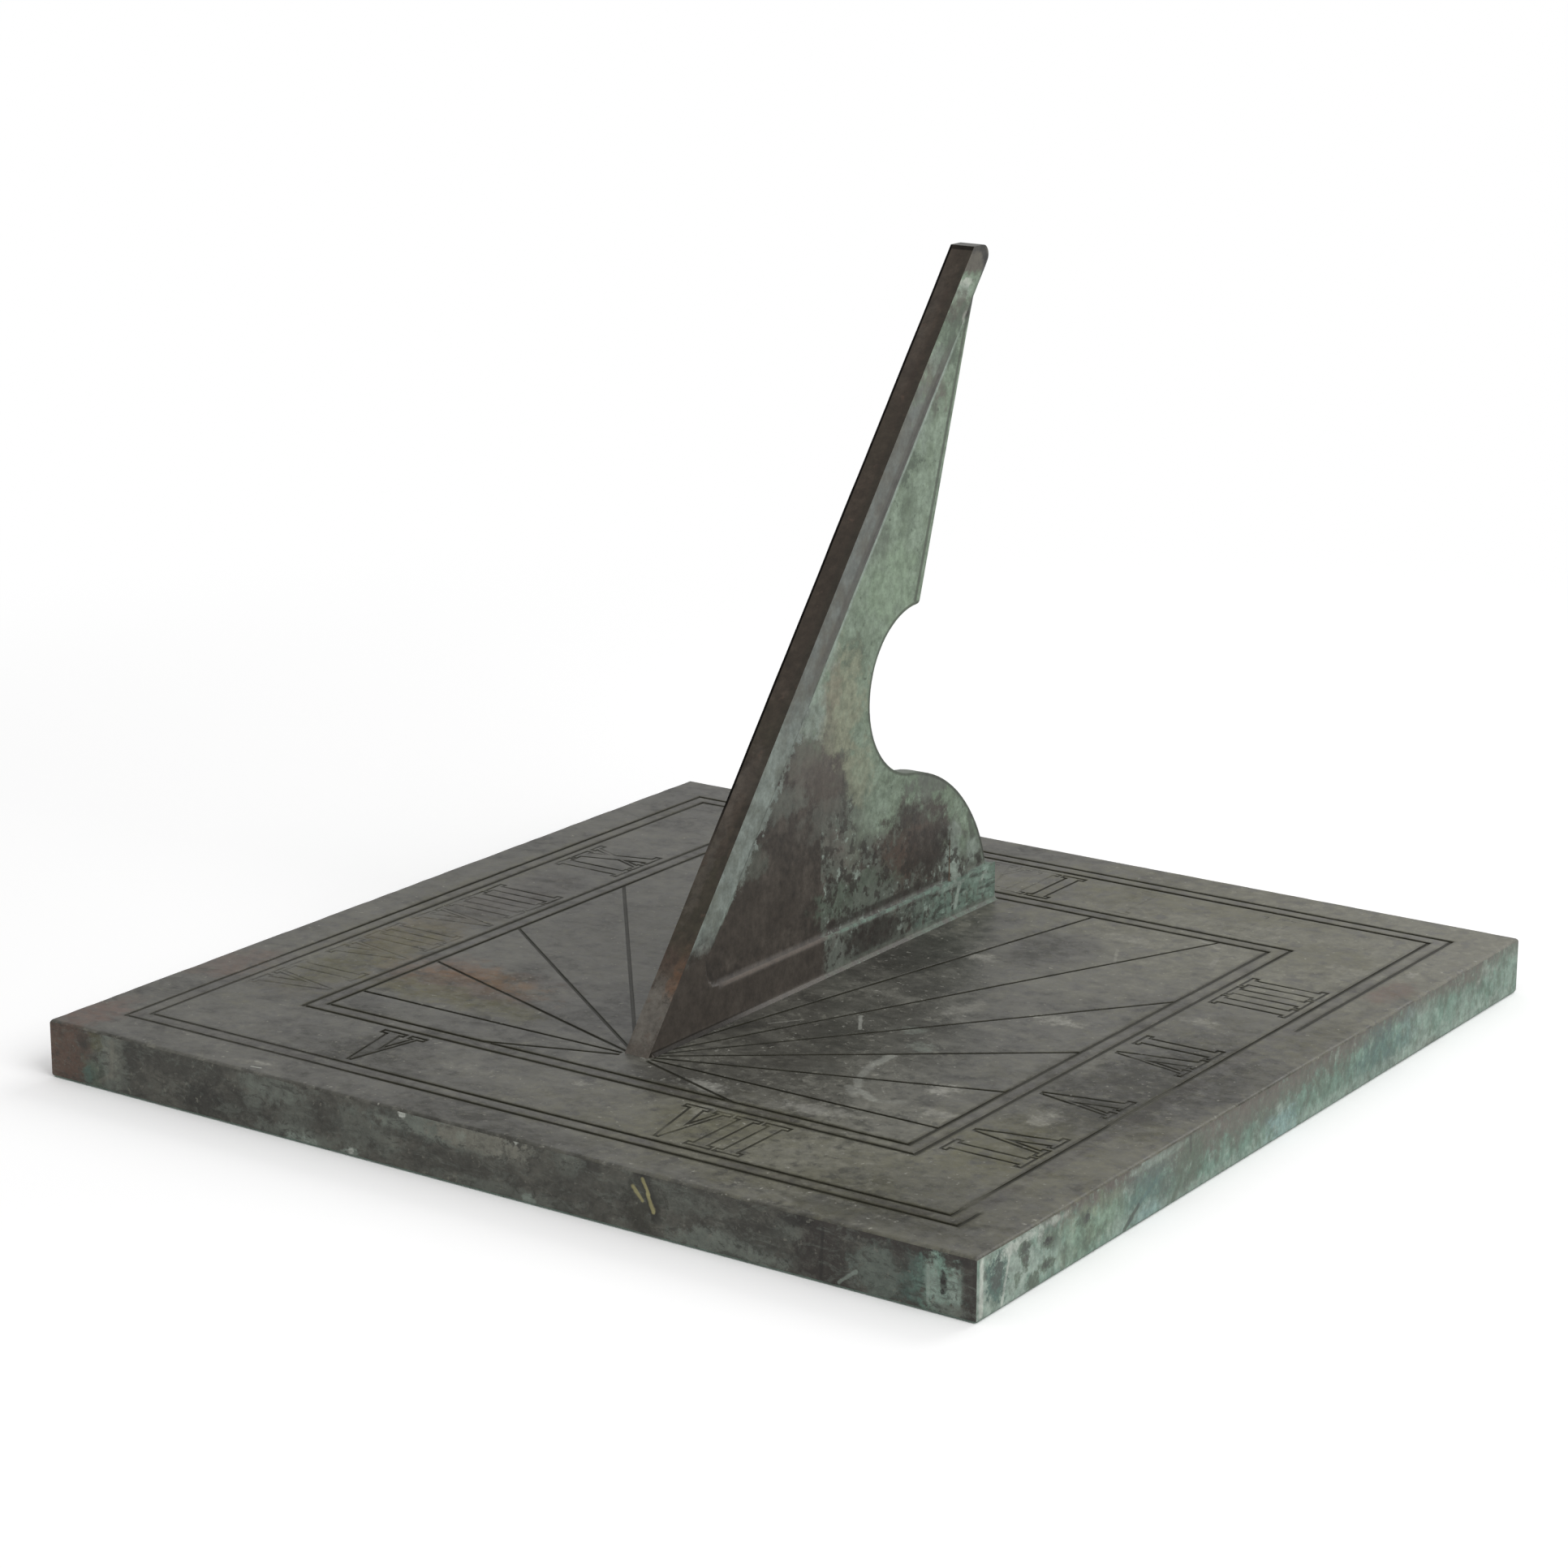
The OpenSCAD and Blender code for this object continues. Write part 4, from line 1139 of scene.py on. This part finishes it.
def makeFloor():
    mesh = bpy.data.meshes.new("floor")
    sides = ((-1, -1), (1, -1), (1, 1), (-1, 1))
    rings = (plateHigh.x - studio["floorOpening"], studio["floorReach"])
    corners = [(reach * x, reach * y, studio["floorLevel"]) for reach in rings for x, y in sides]
    mesh.from_pydata(corners, [], [(4 + i, 4 + (i + 1) % 4, (i + 1) % 4, i) for i in range(4)])
    floor = bpy.data.objects.new("floor", mesh)
    bpy.context.scene.collection.objects.link(floor)
    paper = Finish("floorPaper")
    paper.shader.inputs["Roughness"].default_value = 0.9
    paper.shader.inputs["Specular IOR Level"].default_value = 0.0
    shown = paper.most(*rays(paper))
    plain, white = ((studio[level],) * 3 + (1,) for level in ("floorTone", "floorSeen"))
    paper.wire(paper.mix(shown, plain, white), paper.shader.inputs["Base Color"])
    away = paper.vector("LENGTH", paper.place)
    bare = paper.both(paper.step(away, studio["shadowReach"], studio["shadowEnd"]), shown)
    glow = paper.node("ShaderNodeEmission")
    surface = paper.node("ShaderNodeMixShader")
    for value, socket in zip((bare, paper.shader.outputs[0], glow.outputs[0]), surface.inputs):
        paper.wire(value, socket)
    paper.wire(surface.outputs[0], paper.tree.nodes["Material Output"].inputs["Surface"])
    mesh.materials.append(paper.material)


def makeSky():
    world = bpy.data.worlds.new("studioWhite")
    bpy.context.scene.world = world
    world.use_nodes = True
    sky = Nodes(world.node_tree)
    background = world.node_tree.nodes["Background"]
    background.inputs["Color"].default_value = (1, 1, 1, 1)
    shown, mirrored = rays(sky)
    east = sky.split(sky.node("ShaderNodeTexCoord").outputs["Generated"])[0]
    metal = sky.ramp(east, -1.0, 0.2, studio["skyWest"], studio["skyEast"])
    light = sky.blend(mirrored, studio["skyLight"], metal)
    sky.wire(sky.blend(shown, light, 1.0), background.inputs["Strength"])


# Camera where the photograph was taken from, worked out from the plate's corners
cameraSettings = {
    "place": (0.61822, -0.91103, 0.38189),
    "azimuth": 34.5312,  # degrees, from behind the south side towards the east
    "elevation": 15.5815,
    "roll": 0.179,
    "lens": 92.18,  # millimetres, on a sensor 36 wide
    "sensor": 36.0,
}


def makeCamera():
    turns = ("azimuth", "elevation", "roll")
    azimuth, elevation, roll = (math.radians(cameraSettings[turn]) for turn in turns)
    back = Vector((
        math.sin(azimuth) * math.cos(elevation),
        -math.cos(azimuth) * math.cos(elevation),
        math.sin(elevation),
    ))
    level = Vector((math.cos(azimuth), math.sin(azimuth), 0))
    up = back.cross(level)
    right = level * math.cos(roll) + up * math.sin(roll)
    data = bpy.data.cameras.new("photoCamera")
    data.lens = cameraSettings["lens"]
    data.sensor_width = cameraSettings["sensor"]
    data.clip_start = 0.05
    data.clip_end = 50
    camera = bpy.data.objects.new("photoCamera", data)
    turn = Matrix((right, back.cross(right), back)).transposed()
    camera.matrix_world = Matrix.Translation(cameraSettings["place"]) @ turn.to_4x4()
    bpy.context.scene.collection.objects.link(camera)
    bpy.context.scene.camera = camera
    print("camera placed")


makeFloor()
makeSky()
for name in ("keyLamp", "fillLamp"):
    addLamp(name, *studio[name])
print("studio made")
makeCamera()
bpy.context.scene.view_settings.view_transform = "Standard"
